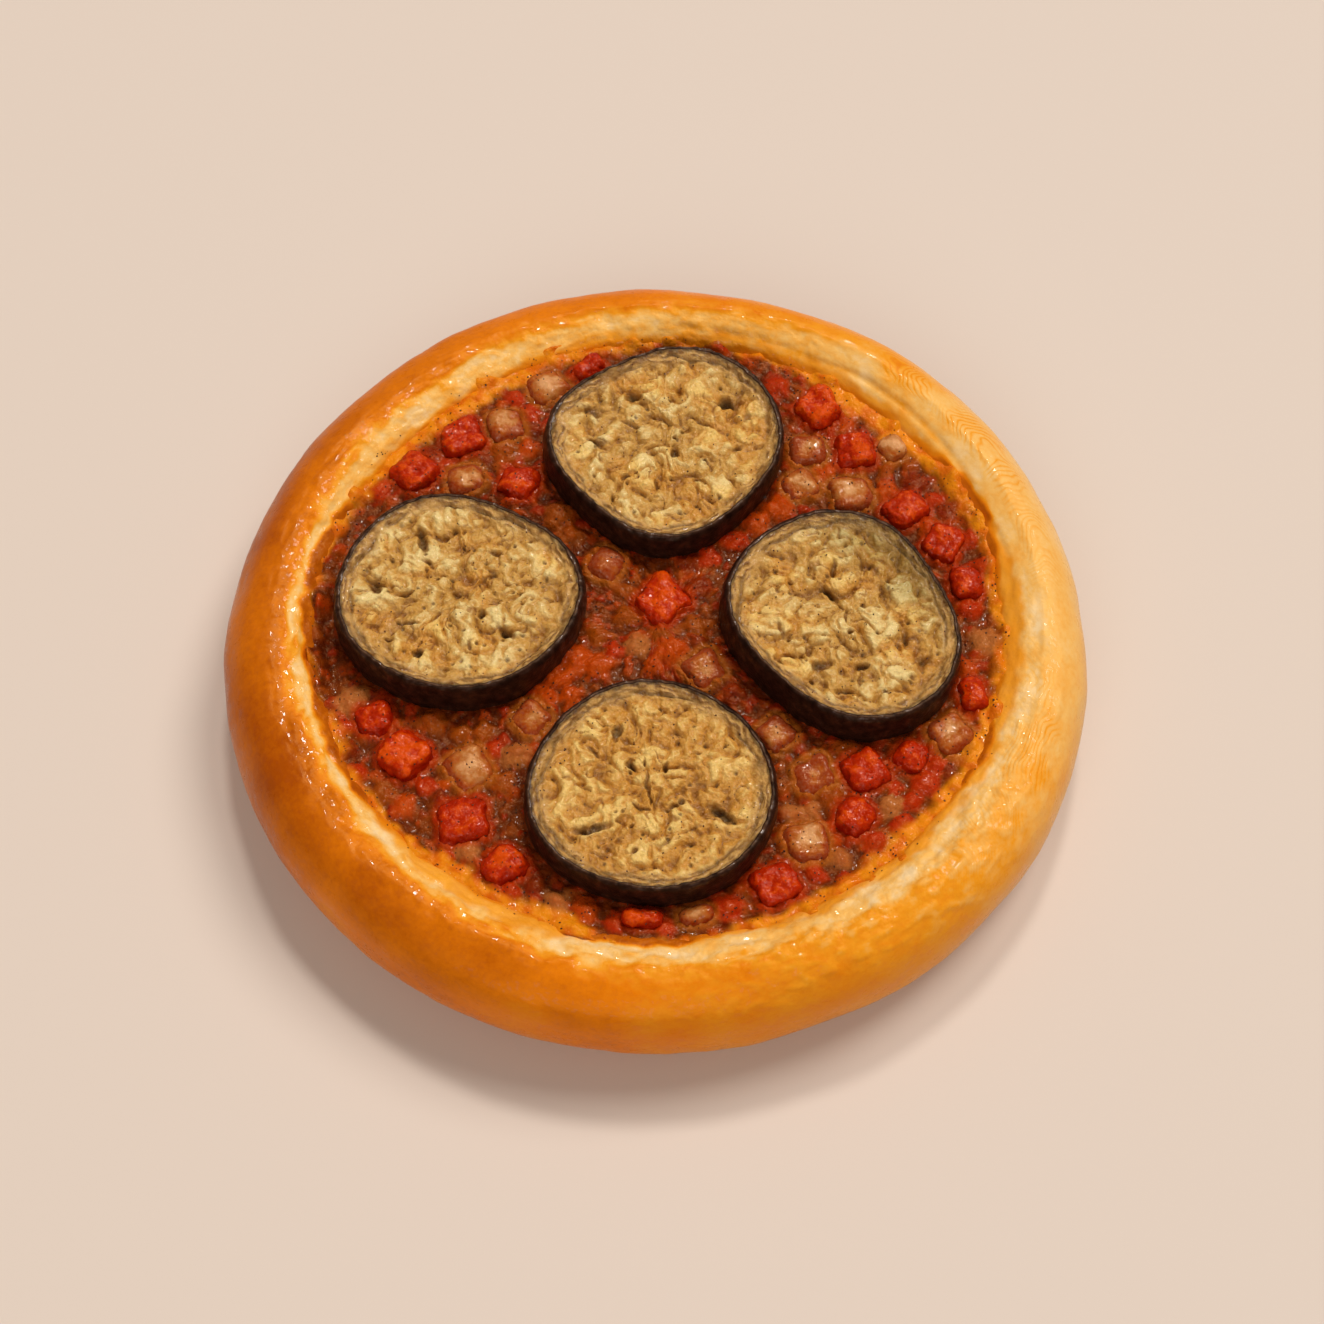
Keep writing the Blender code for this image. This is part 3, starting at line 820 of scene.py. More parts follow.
# %% Onion material
onion, tree, shader = new_finish("onion", Roughness=0.16, Specular_IOR_Level=0.20,
                                 Specular_Tint=(1.0, 0.66, 0.36, 1.0), Subsurface_Weight=0.25,
                                 Subsurface_Scale=0.0020, Coat_Roughness=0.05, Coat_IOR=1.38)
shader.inputs["Subsurface Radius"].default_value = (1.0, 0.45, 0.20)
where = object_place(tree)
height_mm = height_in_mm(tree, where)
out_mm = times(tree, painted(tree, "out"), 1000.0)
coarse_mask, coarse_height = grain(tree, where, 2.2)
fine_mask, fine_height = grain(tree, where, 0.6)
# Painted light and shade with the sauce's colour: the die is paler higher up and in its middle.
clear_and_lit = times_plus(tree, out_mm, -1.00, height_mm)
clear_and_lit = times_plus(tree, coarse_mask, 2.2, clear_and_lit)
broad = add_node(tree, "ShaderNodeTexNoise", Vector=where, Scale=110.0, Detail=1.0)
clear_and_lit = times_plus(tree, minus(tree, broad.outputs[0], 0.5), 7.0, clear_and_lit)
clear_and_lit = plus(tree, clear_and_lit, painted(tree, "pale"))
top_light = between(tree, clear_and_lit, 17.4, 21.4)
onion_colour = ramp(tree, top_light, ((0.0, (0.26, 0.026, 0.001)), (0.30, (0.36, 0.068, 0.004)),
                                      (0.60, (0.42, 0.130, 0.022)), (1.0, (0.62, 0.290, 0.112))))
veined = blend_colours(tree, times(tree, fine_mask, 0.08), onion_colour, (0.75, 0.42, 0.20))
feed(shader, "Base Color", speckled(tree, where, 2.0, 0.09, 0.8, veined, (0.12, 0.028, 0.008)))
feed(shader, "Coat Weight", glints(tree, fine_mask, 0.74))
bump(tree, shader, times_plus(tree, fine_height, 0.25, coarse_height), 0.40)
print("juicy materials:", tomato.name, onion.name)

# %% Cook the dice
COOKING = {"tomato": (tomato, 16, 1.0, 0.60), "onion": (onion, 8, 0.9, 0.24)}
# Onion dice drawn paler (above 0) or darker (below 0) than the others, as a shift in millimetres of the
# height at which a die turns pale and translucent. This is partly each die's own colour and partly painted
# shade, as for onion_12, which the slice beside it shades.
PALER = {"onion_01": 1.2, "onion_03": -1.2, "onion_04": -1.4, "onion_07": 0.8, "onion_08": -1.8,
         "onion_10": 1.4, "onion_11": -1.8, "onion_12": -1.4, "onion_13": -0.9, "onion_14": 1.0}
dice = []
for name in sorted(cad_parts):
    kind = name.split("_")[0]
    if kind not in COOKING:
        continue
    finish, softness, slump, wrinkle = COOKING[kind]
    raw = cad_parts[name].data.copy()
    cooked = grow(raw, cooking, Softness=softness, Slump=slump, Wrinkle=wrinkle, Seed=float(len(dice)) * 1.7,
                  Finish=finish)
    paint_layer(cooked, "sprinkle", ease(0.2, 0.6, normals_of(cooked)[:, 2]))
    paint_layer(cooked, "pale", np.full(len(cooked.vertices), PALER.get(name, 0.0)))
    dice.append(show("sfiha_" + name, cooked, [finish], (name,)))
print("dice:", len(dice))

# %% [markdown]
# ## The sauce
# The sauce is a wet heap of tomato pulp and onion, cooked until the pieces sink into each other. It is one
# surface with lumps pressed up from below, finer granules over them, and a smooth oily film between. The
# larger lumps have their own places, kinds and sizes here, because they are seen one by one. It dips under
# the slices, which lie in it, and it runs a little into the bread so that no gap shows at its edge. It
# clings to the sides of the dice, and at the rim it has boiled up the slope in places.

# %% Where the lumps are
# Each lump is x, y, radius, rise and kind: r red, o orange red, b brown orange, p pinkish onion, d dark red.
LUMPS = (
    (-43.1, 36.4, 2.9, 1.1, "d"), (-34.7, 51.1, 1.7, 1.0, "r"), (-27.1, 50.3, 2.0, 1.1, "r"),
    (-24.6, 47.1, 2.6, 1.3, "r"), (-24.0, 43.3, 2.4, 1.0, "d"), (-29.2, 38.2, 3.0, 1.1, "b"),
    (-24.4, 39.4, 2.5, 1.0, "o"), (-18.4, 23.5, 3.2, 1.3, "b"), (-16.3, 19.5, 2.8, 1.0, "b"),
    (-30.1, 49.1, 1.6, 0.8, "o"), (-47.0, 38.4, 2.4, 0.9, "o"), (-52.0, 29.7, 2.2, 1.0, "r"),
    (-33.1, 36.6, 1.8, 0.8, "d"), (-40.1, 35.4, 1.8, 0.9, "r"), (-50.2, 36.0, 1.6, 0.7, "r"),
    (-38.3, 47.3, 1.7, 0.8, "o"), (23.4, 53.1, 2.9, 1.3, "r"), (27.2, 46.7, 2.2, 0.8, "d"),
    (36.3, 44.3, 2.0, 0.8, "o"), (39.7, 43.5, 1.3, 0.8, "d"), (31.4, 33.4, 2.4, 0.9, "o"),
    (23.0, 25.5, 3.4, 1.4, "o"), (18.7, 22.1, 2.8, 1.1, "o"), (14.3, 18.2, 2.6, 1.1, "r"),
    (9.5, 15.0, 2.6, 1.0, "r"), (5.8, 13.6, 2.4, 0.8, "d"), (43.7, 29.3, 2.5, 1.1, "o"),
    (49.0, 31.0, 2.9, 1.2, "d"), (52.2, 27.5, 2.2, 1.1, "r"), (50.8, 21.3, 2.5, 1.3, "o"),
    (56.9, 28.9, 1.3, 0.9, "d"), (55.2, 25.1, 2.7, 1.1, "d"), (58.1, 23.3, 1.7, 0.9, "d"),
    (57.9, 18.7, 2.1, 1.1, "r"), (59.7, 13.0, 1.9, 1.0, "r"), (57.7, 3.9, 2.6, 1.2, "r"),
    (56.2, 32.2, 2.8, 0.9, "b"), (43.3, 34.2, 2.0, 0.8, "b"), (59.7, 7.6, 1.6, 0.9, "d"),
    (47.8, 35.4, 1.8, 0.7, "b"), (-54.9, -15.4, 3.6, 1.3, "p"), (-49.8, -15.0, 2.3, 1.1, "d"),
    (-56.5, -20.7, 2.0, 1.0, "r"), (-55.1, -25.3, 2.1, 1.0, "d"), (-53.2, -30.1, 2.3, 1.1, "r"),
    (-48.2, -33.8, 2.4, 1.0, "b"), (-44.8, -36.4, 2.4, 1.0, "o"), (-41.1, -32.8, 2.1, 1.1, "r"),
    (-40.1, -19.9, 3.0, 1.2, "b"), (-34.9, -22.1, 2.2, 1.0, "b"), (-31.1, -21.9, 2.2, 1.1, "b"),
    (-28.8, -25.7, 1.9, 1.0, "r"), (-25.0, -26.9, 2.9, 1.3, "p"), (-27.4, -32.2, 2.6, 1.0, "b"),
    (-20.0, -14.6, 2.4, 1.0, "o"), (-18.0, -10.8, 2.8, 1.2, "o"), (-15.1, -6.6, 3.3, 1.5, "o"),
    (-10.5, -8.4, 3.2, 1.5, "o"), (-7.7, -5.1, 2.0, 1.0, "r"), (-3.6, -3.9, 2.6, 1.2, "p"),
    (-15.3, -14.4, 2.4, 1.1, "o"), (-33.3, -44.7, 2.6, 1.2, "p"), (-38.3, -34.8, 1.8, 0.9, "d"),
    (-25.2, -53.3, 2.0, 1.0, "r"), (-17.3, -55.1, 2.9, 1.2, "p"), (-12.1, -56.8, 2.2, 1.0, "o"),
    (-7.1, -59.0, 2.1, 1.0, "r"), (-36.9, -46.7, 2.0, 0.9, "r"), (-21.2, -51.5, 1.9, 0.8, "d"),
    (-36.7, -26.7, 1.6, 0.7, "d"), (-37.7, -32.4, 1.6, 0.8, "o"), (2.6, -5.5, 3.3, 1.5, "o"),
    (-0.6, -8.4, 2.2, 1.1, "o"), (13.9, -14.2, 2.6, 1.0, "d"), (12.5, -7.4, 2.2, 0.9, "d"),
    (60.1, -3.1, 3.0, 1.3, "p"), (57.1, -8.6, 2.1, 1.1, "o"), (61.5, -8.2, 1.8, 0.9, "b"),
    (34.1, -25.3, 2.5, 1.1, "b"), (50.0, -28.5, 2.1, 1.1, "r"), (47.6, -32.0, 3.0, 1.4, "r"),
    (45.2, -35.8, 2.1, 1.1, "r"), (41.5, -36.2, 2.5, 1.3, "p"), (43.3, -40.0, 2.4, 1.1, "r"),
    (38.1, -43.7, 2.4, 1.1, "r"), (32.1, -46.9, 2.2, 1.2, "p"), (27.8, -49.1, 2.4, 1.1, "r"),
    (33.1, -50.7, 1.9, 0.9, "r"), (38.9, -46.7, 1.5, 0.8, "d"), (23.8, -37.8, 2.1, 1.1, "p"),
    (27.4, -37.8, 2.0, 1.0, "p"), (30.8, -34.6, 2.4, 1.1, "b"), (12.1, -55.8, 2.9, 1.3, "r"),
    (1.6, -59.6, 2.0, 0.9, "r"), (40.3, -32.0, 1.8, 0.9, "b"), (31.0, -40.2, 2.0, 1.0, "r"),
    (52.0, -29.5, 1.7, 0.8, "d"), (41.9, -33.0, 1.6, 0.9, "r"), (22.4, -32.6, 2.2, 0.8, "b"),
    (0.6, -1.3, 2.4, 1.0, "b"), (6.8, 0.3, 2.4, 1.0, "b"), (-5.3, 2.1, 2.4, 1.0, "b"),
    (7.9, 8.4, 2.4, 1.0, "d"), (-5.7, 7.4, 2.2, 0.9, "b"), (-10.7, -1.5, 2.4, 1.0, "b"),
    (7.3, -3.5, 1.8, 0.8, "d"),
)
LUMP_TINTS = {"r": (0.42, 0.018, 0.001), "o": (0.46, 0.046, 0.001), "b": (0.27, 0.046, 0.002),
              "p": (0.42, 0.125, 0.026), "d": (0.17, 0.010, 0.001)}
print("lumps:", len(LUMPS))

# %% The slices' places
SLICE_THICKNESS = 8.8
SLICES = {
    "eggplant_back": dict(centre=(1.9, 37.1), radius=21.1, face=25.7, cut=0.0,
                          lean=(-0.4, -0.2), tip=(1.0, 1.0),
                          waves=((2, 0.7, 28.0), (3, 0.8, 44.0), (4, 0.6, -5.0))),
    "eggplant_left": dict(centre=(-36.3, 3.8), radius=21.4, face=25.6, cut=13.9,
                          lean=(-0.2, -0.2), tip=(-1.5, 0.5),
                          waves=((2, 0.9, -14.0), (3, 0.4, -3.0), (4, 0.4, 15.0))),
    "eggplant_right": dict(centre=(34.0, -0.8), radius=21.0, face=25.7, cut=18.74,
                           lean=(-0.6, -0.3), tip=(-1.0, 1.5),
                           waves=((2, 2.0, -55.0), (3, 0.7, -55.0), (4, 0.3, -10.0))),
    "eggplant_front": dict(centre=(-0.9, -35.3), radius=20.9, face=25.5, cut=28.11,
                           lean=(-0.2, 0.1), tip=(1.0, -0.5),
                           waves=((2, 0.7, -4.0), (3, 0.4, -32.0), (4, 0.2, 13.0))),
}


def share_of_slice(points, spec):
    """How far out each point is in a slice: 0 at its middle and 1 at its outline."""
    away = points[:, :2] - np.array(spec["centre"])
    return np.hypot(*away.T) / (spec["radius"] + waves(np.arctan2(away[:, 1], away[:, 0]), spec["waves"]))


print("slices:", list(SLICES))


# %% Shape the sauce
def sauce_level(x, y):
    """The sauce's surface without its lumps, as the CAD model has it."""
    share = np.minimum(1.0, np.hypot(x - WELL_SHIFT[0], y - WELL_SHIFT[1]) / WELL_RADIUS)
    ripple = np.sin(x * math.tau / 24.0 + 1.0) * np.sin(y * math.tau / 24.0 + 2.0)
    return SAUCE_EDGE_HEIGHT + 0.6 * (1.0 - share * share) + 0.35 * ripple * (1.0 - share ** 4)


SAUCE_RADIUS = 64.4
SAUCE_STEPS = 610
SAUCE_FLOOR = 10.9
UNDER_SLICE_HEIGHT = 15.8
sauce_rings = np.concatenate([np.linspace(0.0, 20.0, 36, endpoint=False),
                              np.linspace(20.0, SAUCE_RADIUS, 118)])
sauce_profile = ([(r, SAUCE_EDGE_HEIGHT) for r in sauce_rings] + [(SAUCE_RADIUS, 17.0), (61.6, 15.8)]
                 + [(r, SAUCE_FLOOR) for r in (60.2, 40.0, 0.0)])
sauce_mesh = turned("filling", sauce_profile, SAUCE_STEPS)
sauce = points_of(sauce_mesh)
on_top = read_layer(sauce_mesh, "row") < len(sauce_rings) - 0.5
sauce[:, :2] += np.array(WELL_SHIFT) * np.minimum(1.0, np.hypot(sauce[:, 0], sauce[:, 1]) / 61.0)[:, None]
flat = tilted(sauce[:, 0], sauce[:, 1])
bent_x = sauce[:, 0] + 0.90 * soft_noise(flat, 3.0, 41) + 0.36 * soft_noise(flat, 1.2, 43)
bent_y = sauce[:, 1] + 0.90 * soft_noise(flat, 3.0, 42) + 0.36 * soft_noise(flat, 1.2, 44)

tint = mix((0.17, 0.024, 0.001), (0.10, 0.009, 0.001), ease(-0.35, 0.35, soft_noise(flat, 9.0, 45)))
bulge = np.zeros(len(sauce))
lump_here = np.zeros(len(sauce))
for x, y, radius, rise, kind in LUMPS:
    away = np.hypot(bent_x - x, bent_y - y) / radius
    dome = rise * ease(1.25, 0.25, away)
    tint = mix(tint, LUMP_TINTS[kind], ease(1.15, 0.80, away) * (dome >= bulge))
    lump_here = np.maximum(lump_here, ease(1.15, 0.75, away))
    bulge = np.maximum(bulge, dome)

# Granules: each cell of two sizes holds a soft bump of its own height and colour.
granules = np.zeros(len(sauce))
for size, height, seed in ((3.0, 0.60, 61), (1.7, 0.30, 65)):
    first, number = cells(bent_x, bent_y, size, seed)
    bump_here = ease(0.62, 0.10, first / size) * ease(0.25, 0.95, number)
    granules += height * bump_here * (1.0 - 0.5 * lump_here)
    kind = (number * 57.0) % 1.0
    bit_tint = np.where((kind < 0.40)[:, None], (0.34, 0.012, 0.001),
                        np.where((kind < 0.80)[:, None], (0.42, 0.040, 0.002), (0.32, 0.055, 0.005)))
    tint = mix(tint, bit_tint, 0.80 * ease(0.10, 0.50, bump_here) * (1.0 - 0.75 * lump_here))
pulp = billow(flat, 2.4, 3, 71)
# Painted shade: the sauce is drawn darker where it lies low between granules and lumps.
low_place = ease(0.46, 0.0, granules + 0.5 * bulge) * ease(0.90, 0.25, pulp)
tint = mix(tint, (0.060, 0.006, 0.001), 0.85 * low_place)
rough = granules + 0.46 * (pulp - 0.5) + 0.08 * soft_noise(flat, 0.9, 72)

# Where the oily film at the edge is wider or narrower: direction and half width in degrees, and by how much.
FILMS = ((130.0, 40.0, 3.2), (48.0, 24.0, 2.9), (240.0, 30.0, 1.3), (315.0, 38.0, 1.8), (180.0, 26.0, -2.5),
         (267.0, 14.0, -1.5))

# The sauce clings to the dice: it climbs up their sides and takes their colour there. Deep inside a die it
# sinks.
OUTLINE_STEPS = 48
DIE_REACH = 8.0
inside_die = np.zeros(len(sauce))
cling = np.zeros(len(sauce))
for piece in dice:
    body = points_of(piece.data)
    upper = body[body[:, 2] > SAUCE_EDGE_HEIGHT + 0.5, :2]
    middle = 0.5 * (upper.min(axis=0) + upper.max(axis=0))
    out = upper - middle
    direction = (np.arctan2(out[:, 1], out[:, 0]) % math.tau) / math.tau * OUTLINE_STEPS
    outline = np.zeros(OUTLINE_STEPS)
    np.maximum.at(outline, direction.astype(int) % OUTLINE_STEPS, np.hypot(*out.T))
    near = np.flatnonzero(on_top & (np.abs(sauce[:, :2] - middle).max(axis=1) < DIE_REACH))
    out = sauce[near, :2] - middle
    direction = (np.arctan2(out[:, 1], out[:, 0]) % math.tau) / math.tau * OUTLINE_STEPS
    gap = np.hypot(*out.T) - np.interp(direction, np.arange(OUTLINE_STEPS) + 0.5, outline,
                                       period=OUTLINE_STEPS)
    cling[near] = np.maximum(cling[near], ease(1.6, 0.0, gap))
    inside_die[near] = np.maximum(inside_die[near], ease(-0.3, -1.2, gap))
    beside_tint = (0.42, 0.022, 0.001) if "tomato" in piece.name else (0.40, 0.100, 0.008)
    tint[near] = mix(tint[near], beside_tint, 0.75 * ease(1.5, 0.2, gap))
bulge = np.maximum(bulge, cling * (0.25 + 0.65 * pulp))
centre_away = np.hypot(sauce[:, 0] - WELL_SHIFT[0], sauce[:, 1] - WELL_SHIFT[1])
around = np.degrees(np.arctan2(sauce[:, 1] - WELL_SHIFT[1], sauce[:, 0] - WELL_SHIFT[0]))
film_edge = 61.4 + 1.6 * soft_noise(flat, 7.0, 73) + 1.3 * soft_noise(flat, 2.6, 74)
for direction, width, wide in FILMS:
    film_edge -= wide * facing(around, direction, width)
film = ease(-0.6, 1.8, centre_away - film_edge)
film_tint = mix((0.80, 0.245, 0.005), (0.66, 0.130, 0.003), ease(-0.2, 0.5, soft_noise(flat, 2.2, 75)))
tint = mix(tint, film_tint, 0.88 * film)
climb = 1.3 * ease(-0.1, 0.6, soft_noise(flat, 4.5, 76)) + 0.4 * ease(-0.2, 0.6, soft_noise(flat, 1.8, 77))
for direction, width, high in STAINS:
    climb += 0.45 * high * facing(around, direction, width)
climb *= ease(59.8, 63.2, centre_away)
level = (sauce_level(sauce[:, 0], sauce[:, 1]) + (bulge + rough) * (1.0 - 0.50 * film) + 0.35 * film + climb
         - 1.8 * inside_die)
under = np.zeros(len(sauce))
beside = np.zeros(len(sauce))
for spec in SLICES.values():
    under = np.maximum(under, ease(0.97, 0.90, share_of_slice(sauce, spec)))
    beside = np.maximum(beside, ease(1.12, 1.0, share_of_slice(sauce, spec)))
# Painted shadow: the sauce is drawn darker in a narrow band just beside each slice.
tint = mix(tint, tint * (0.60, 0.42, 0.35), 0.8 * beside)
level = mix(level, UNDER_SLICE_HEIGHT, under)
sauce[:, 2] = np.where(on_top, level, sauce[:, 2])
move_points(sauce_mesh, sauce)
paint_layer(sauce_mesh, "tint", np.where(on_top[:, None], tint, (0.30, 0.05, 0.015)))
paint_layer(sauce_mesh, "film", film)
paint_layer(sauce_mesh, "sprinkle", np.where(on_top, (1.0 - under) * (1.0 - inside_die), 0.0))
print("sauce height in mm:", round(level.min(), 2), "to", round(level.max(), 2))

# %% Sauce material
sauce_finish, tree, shader = new_finish("sauce", Specular_IOR_Level=0.22,
                                        Specular_Tint=(1.0, 0.56, 0.24, 1.0), Subsurface_Weight=0.06,
                                        Subsurface_Scale=0.0010, Coat_Roughness=0.06, Coat_IOR=1.42)
shader.inputs["Subsurface Radius"].default_value = (1.0, 0.20, 0.05)
where = object_place(tree)
tint_in = painted(tree, "tint", "Vector")
film_in = painted(tree, "film")
solid = minus(tree, 1.0, film_in)
coarse_mask, coarse_height = grain(tree, where, 1.3)
fine_mask, fine_height = grain(tree, where, 0.5)
lighter = blend_colours(tree, times(tree, coarse_mask, times(tree, solid, 0.12)), tint_in,
                        (0.66, 0.120, 0.003))
darker = blend_colours(tree, times(tree, minus(tree, 1.0, fine_mask),
                                   times(tree, solid, 0.24)), lighter, (0.08, 0.006, 0.001))
peppered = speckled(tree, where, 1.9, 0.10, 0.80, darker, (0.030, 0.006, 0.002))
feed(shader, "Base Color", peppered)
feed(shader, "Roughness", times_plus(tree, fine_mask, -0.30, 0.40))
wet = times(tree, glints(tree, fine_mask, 0.80), times_plus(tree, film_in, -0.40, 1.00))
feed(shader, "Coat Weight", wet)
bump(tree, shader, times_plus(tree, coarse_height, 1.0, times(tree, fine_height, 0.30)), 0.42)
filling = show("sfiha_sauce", sauce_mesh, [sauce_finish], ("filling",))

# %% [markdown]
# ## The eggplant slices
# A roasted slice has a dark wrinkled skin round a spongy cut face. The flesh has shrunk into soft lumps
# with creases and a few deep pits between them, and near the skin it is a ring of fibres in curved lines.
# The lumps are drawn paler, and the creases, pits and folds brown to near black, which is painted light and
# shade. The slice is turned from a fine profile. Noise that is folded at zero gives round puffs with narrow
# creases between them, and the face is sunk by those and by the pits. Each slice's own pits are listed,
# because the eye picks them out.

# %% Pits and creases
# Each pit is x, y, half length, half width, turn in degrees and depth.
PITS = {
    "eggplant_back": (
        (13.2, 45.9, 2.2, 1.7, -20, 2.4), (-4.6, 47.4, 2.2, 1.1, -5, 1.5), (-12.1, 43.5, 2.4, 1.1, -50, 1.5),
        (-11.5, 37.2, 2.6, 0.8, -28, 1.3), (3.3, 34.6, 2.2, 0.9, 80, 1.7), (3.4, 37.4, 0.6, 0.5, 0, 1.2),
        (-8.3, 24.6, 0.7, 0.5, -50, 1.4), (-5.5, 28.9, 1.0, 0.6, -20, 1.3), (3.2, 29.0, 0.8, 0.5, 30, 1.1),
        (7.1, 28.4, 0.9, 0.6, 0, 1.2), (9.5, 32.2, 2.4, 0.5, -50, 0.9), (-0.8, 50.9, 0.7, 0.4, 0, 1.1),
        (-1.9, 41.5, 0.6, 0.4, 0, 0.8), (15.1, 35.6, 1.7, 0.6, 20, 1.1), (-4.6, 40.7, 3.6, 0.5, -24, 0.8),
        (4.2, 21.2, 0.6, 0.4, 0, 1.0), (13.9, 23.1, 1.0, 0.5, 40, 0.9), (0.0, 27.5, 2.4, 0.5, 85, 0.8),
        (7.5, 25.5, 2.6, 0.4, 95, 0.7), (16.9, 42.5, 1.2, 0.9, 60, 0.8)),
    "eggplant_left": (
        (-43.4, 15.2, 3.4, 1.0, 105, 1.8), (-41.8, 10.0, 2.0, 0.5, -40, 1.0),
        (-51.3, 5.2, 2.1, 1.5, 100, 1.9),
        (-42.9, -8.6, 1.3, 1.1, 60, 2.3), (-48.4, -5.9, 0.9, 0.5, 0, 1.3), (-27.2, -4.2, 2.2, 0.9, -32, 1.7),
        (-31.9, -0.3, 1.6, 0.8, 80, 1.6), (-29.6, 12.8, 2.0, 0.6, -12, 1.2), (-29.9, 8.0, 1.0, 0.7, 30, 1.2),
        (-36.1, 4.2, 0.9, 0.6, 20, 1.1), (-45.6, 4.0, 1.3, 0.5, 30, 1.2), (-45.2, -2.2, 2.6, 0.5, -8, 1.1),
        (-37.3, 17.7, 0.8, 0.5, 60, 1.2), (-38.7, 16.1, 1.1, 0.7, 60, 1.1), (-35.3, 17.1, 1.0, 0.6, 80, 1.1),
        (-24.6, 1.8, 0.6, 0.4, 0, 0.9), (-33.7, -7.5, 1.4, 0.5, 80, 1.0), (-34.9, -10.8, 0.8, 0.5, 0, 0.9),
        (-20.0, 3.1, 1.6, 0.5, -15, 0.9), (-39.9, -0.7, 2.2, 0.4, 55, 0.8), (-32.1, 5.6, 2.2, 0.4, -75, 0.8),
        (-23.8, -3.5, 1.6, 0.4, 60, 0.8)),
    "eggplant_right": (
        (31.6, 3.8, 3.0, 0.8, -52, 1.6), (34.9, -4.2, 1.0, 0.8, 30, 1.4), (33.5, -6.3, 2.4, 0.4, -60, 1.0),
        (37.5, 1.3, 0.9, 0.5, 80, 1.2), (29.4, -11.4, 2.4, 1.3, 15, 1.8), (27.2, -8.4, 1.8, 0.7, -60, 1.1),
        (36.9, -11.4, 1.6, 0.7, -10, 1.5), (36.7, -14.4, 2.2, 0.4, 80, 1.0), (34.1, -16.3, 2.4, 0.5, 0, 1.3),
        (40.5, -16.7, 1.2, 0.4, 0, 1.1), (44.8, -5.2, 1.7, 0.6, 85, 1.1), (47.6, -9.8, 1.3, 1.0, 40, 1.2),
        (45.4, -13.8, 0.9, 0.5, 20, 1.0), (32.5, 9.6, 2.2, 0.7, 88, 1.2), (21.8, 4.2, 0.8, 0.5, -30, 1.1),
        (24.4, 6.0, 0.6, 0.4, 0, 0.9), (22.4, -4.1, 2.6, 0.5, -65, 0.9), (24.0, -5.9, 0.6, 0.4, 0, 1.1),
        (38.1, 9.8, 2.0, 0.8, -40, 0.9), (34.1, -0.7, 1.8, 0.4, 75, 0.9), (22.2, -10.4, 1.6, 0.4, -55, 0.9)),
    "eggplant_front": (
        (-7.1, -24.7, 2.1, 0.9, 75, 1.7), (-4.3, -31.3, 1.6, 0.9, -60, 1.9), (1.6, -31.5, 1.4, 0.5, 80, 1.4),
        (-1.9, -30.9, 1.1, 0.4, 85, 1.1), (-1.3, -35.6, 4.2, 0.4, 100, 1.2), (0.2, -37.6, 2.6, 0.4, 80, 1.0),
        (-2.6, -39.0, 2.8, 0.5, -25, 1.1), (2.6, -39.0, 2.4, 0.5, 15, 1.1), (4.4, -38.0, 1.0, 0.7, 40, 1.5),
        (-11.3, -43.2, 3.8, 0.9, 8, 2.0), (11.3, -40.5, 3.4, 1.3, -42, 2.6), (-4.0, -47.5, 1.1, 0.6, 40, 1.3),
        (-4.6, -42.6, 0.6, 0.4, 0, 1.1), (-6.5, -41.9, 0.7, 0.4, 0, 1.0), (-11.3, -28.1, 2.2, 0.5, -52, 1.1),
        (7.7, -28.9, 0.9, 0.4, 0, 0.8), (-14.1, -45.1, 0.7, 0.4, 0, 0.8), (1.6, -45.7, 2.4, 0.5, 50, 0.8),
        (6.4, -43.4, 2.4, 0.4, 20, 0.7)),
}
print("pits:", {name: len(pits) for name, pits in PITS.items()})

# %% Flesh material
flesh, tree, shader = new_finish("eggplant_flesh", Roughness=0.26, Specular_IOR_Level=0.18,
                                 Subsurface_Weight=0.08, Subsurface_Scale=0.0012, Coat_Roughness=0.08,
                                 Coat_IOR=1.3)
shader.inputs["Subsurface Radius"].default_value = (1.0, 0.5, 0.18)
where = object_place(tree)
coarse_mask, coarse_height = grain(tree, where, 1.3)
fine_mask, fine_height = grain(tree, where, 0.45)
base = painted(tree, "tint", "Vector")
pale = blend_colours(tree, times(tree, coarse_mask, 0.16), base, (0.84, 0.58, 0.20))
fibres = blend_colours(tree, times(tree, minus(tree, 1.0, fine_mask), 0.20), pale,
                       (0.24, 0.085, 0.010))
feed(shader, "Base Color", speckled(tree, where, 2.2, 0.075, 0.85, fibres, (0.07, 0.024, 0.007)))
feed(shader, "Coat Weight", maths(tree, "POWER", fine_mask, 3.0))
bump(tree, shader, times_plus(tree, fine_height, 0.50, coarse_height), 0.50)

# %% Skin material
skin, tree, shader = new_finish("eggplant_skin", Roughness=0.38, Specular_IOR_Level=0.12,
                                Specular_Tint=(1.0, 0.74, 0.52, 1.0), Coat_Roughness=0.10)
where = object_place(tree)
coarse_mask, coarse_height = grain(tree, where, 1.8)
fine_mask, fine_height = grain(tree, where, 0.6)
# The top edge of the skin is drawn lighter brown in patches: partly the cut edge's own colour, partly painted
# light where the edge catches it.
edge = times(tree, painted(tree, "lip"), coarse_mask)
purple = blend_colours(tree, coarse_mask, (0.012, 0.0035, 0.0018), (0.034, 0.010, 0.0050))
feed(shader, "Base Color", blend_colours(tree, times(tree, edge, 0.85), purple, (0.13, 0.060, 0.026)))
feed(shader, "Coat Weight", times(tree, maths(tree, "POWER", coarse_mask, 4.0), 0.5))
bump(tree, shader, times_plus(tree, fine_height, 0.5, coarse_height), 0.22)
print("eggplant materials:", flesh.name, skin.name)

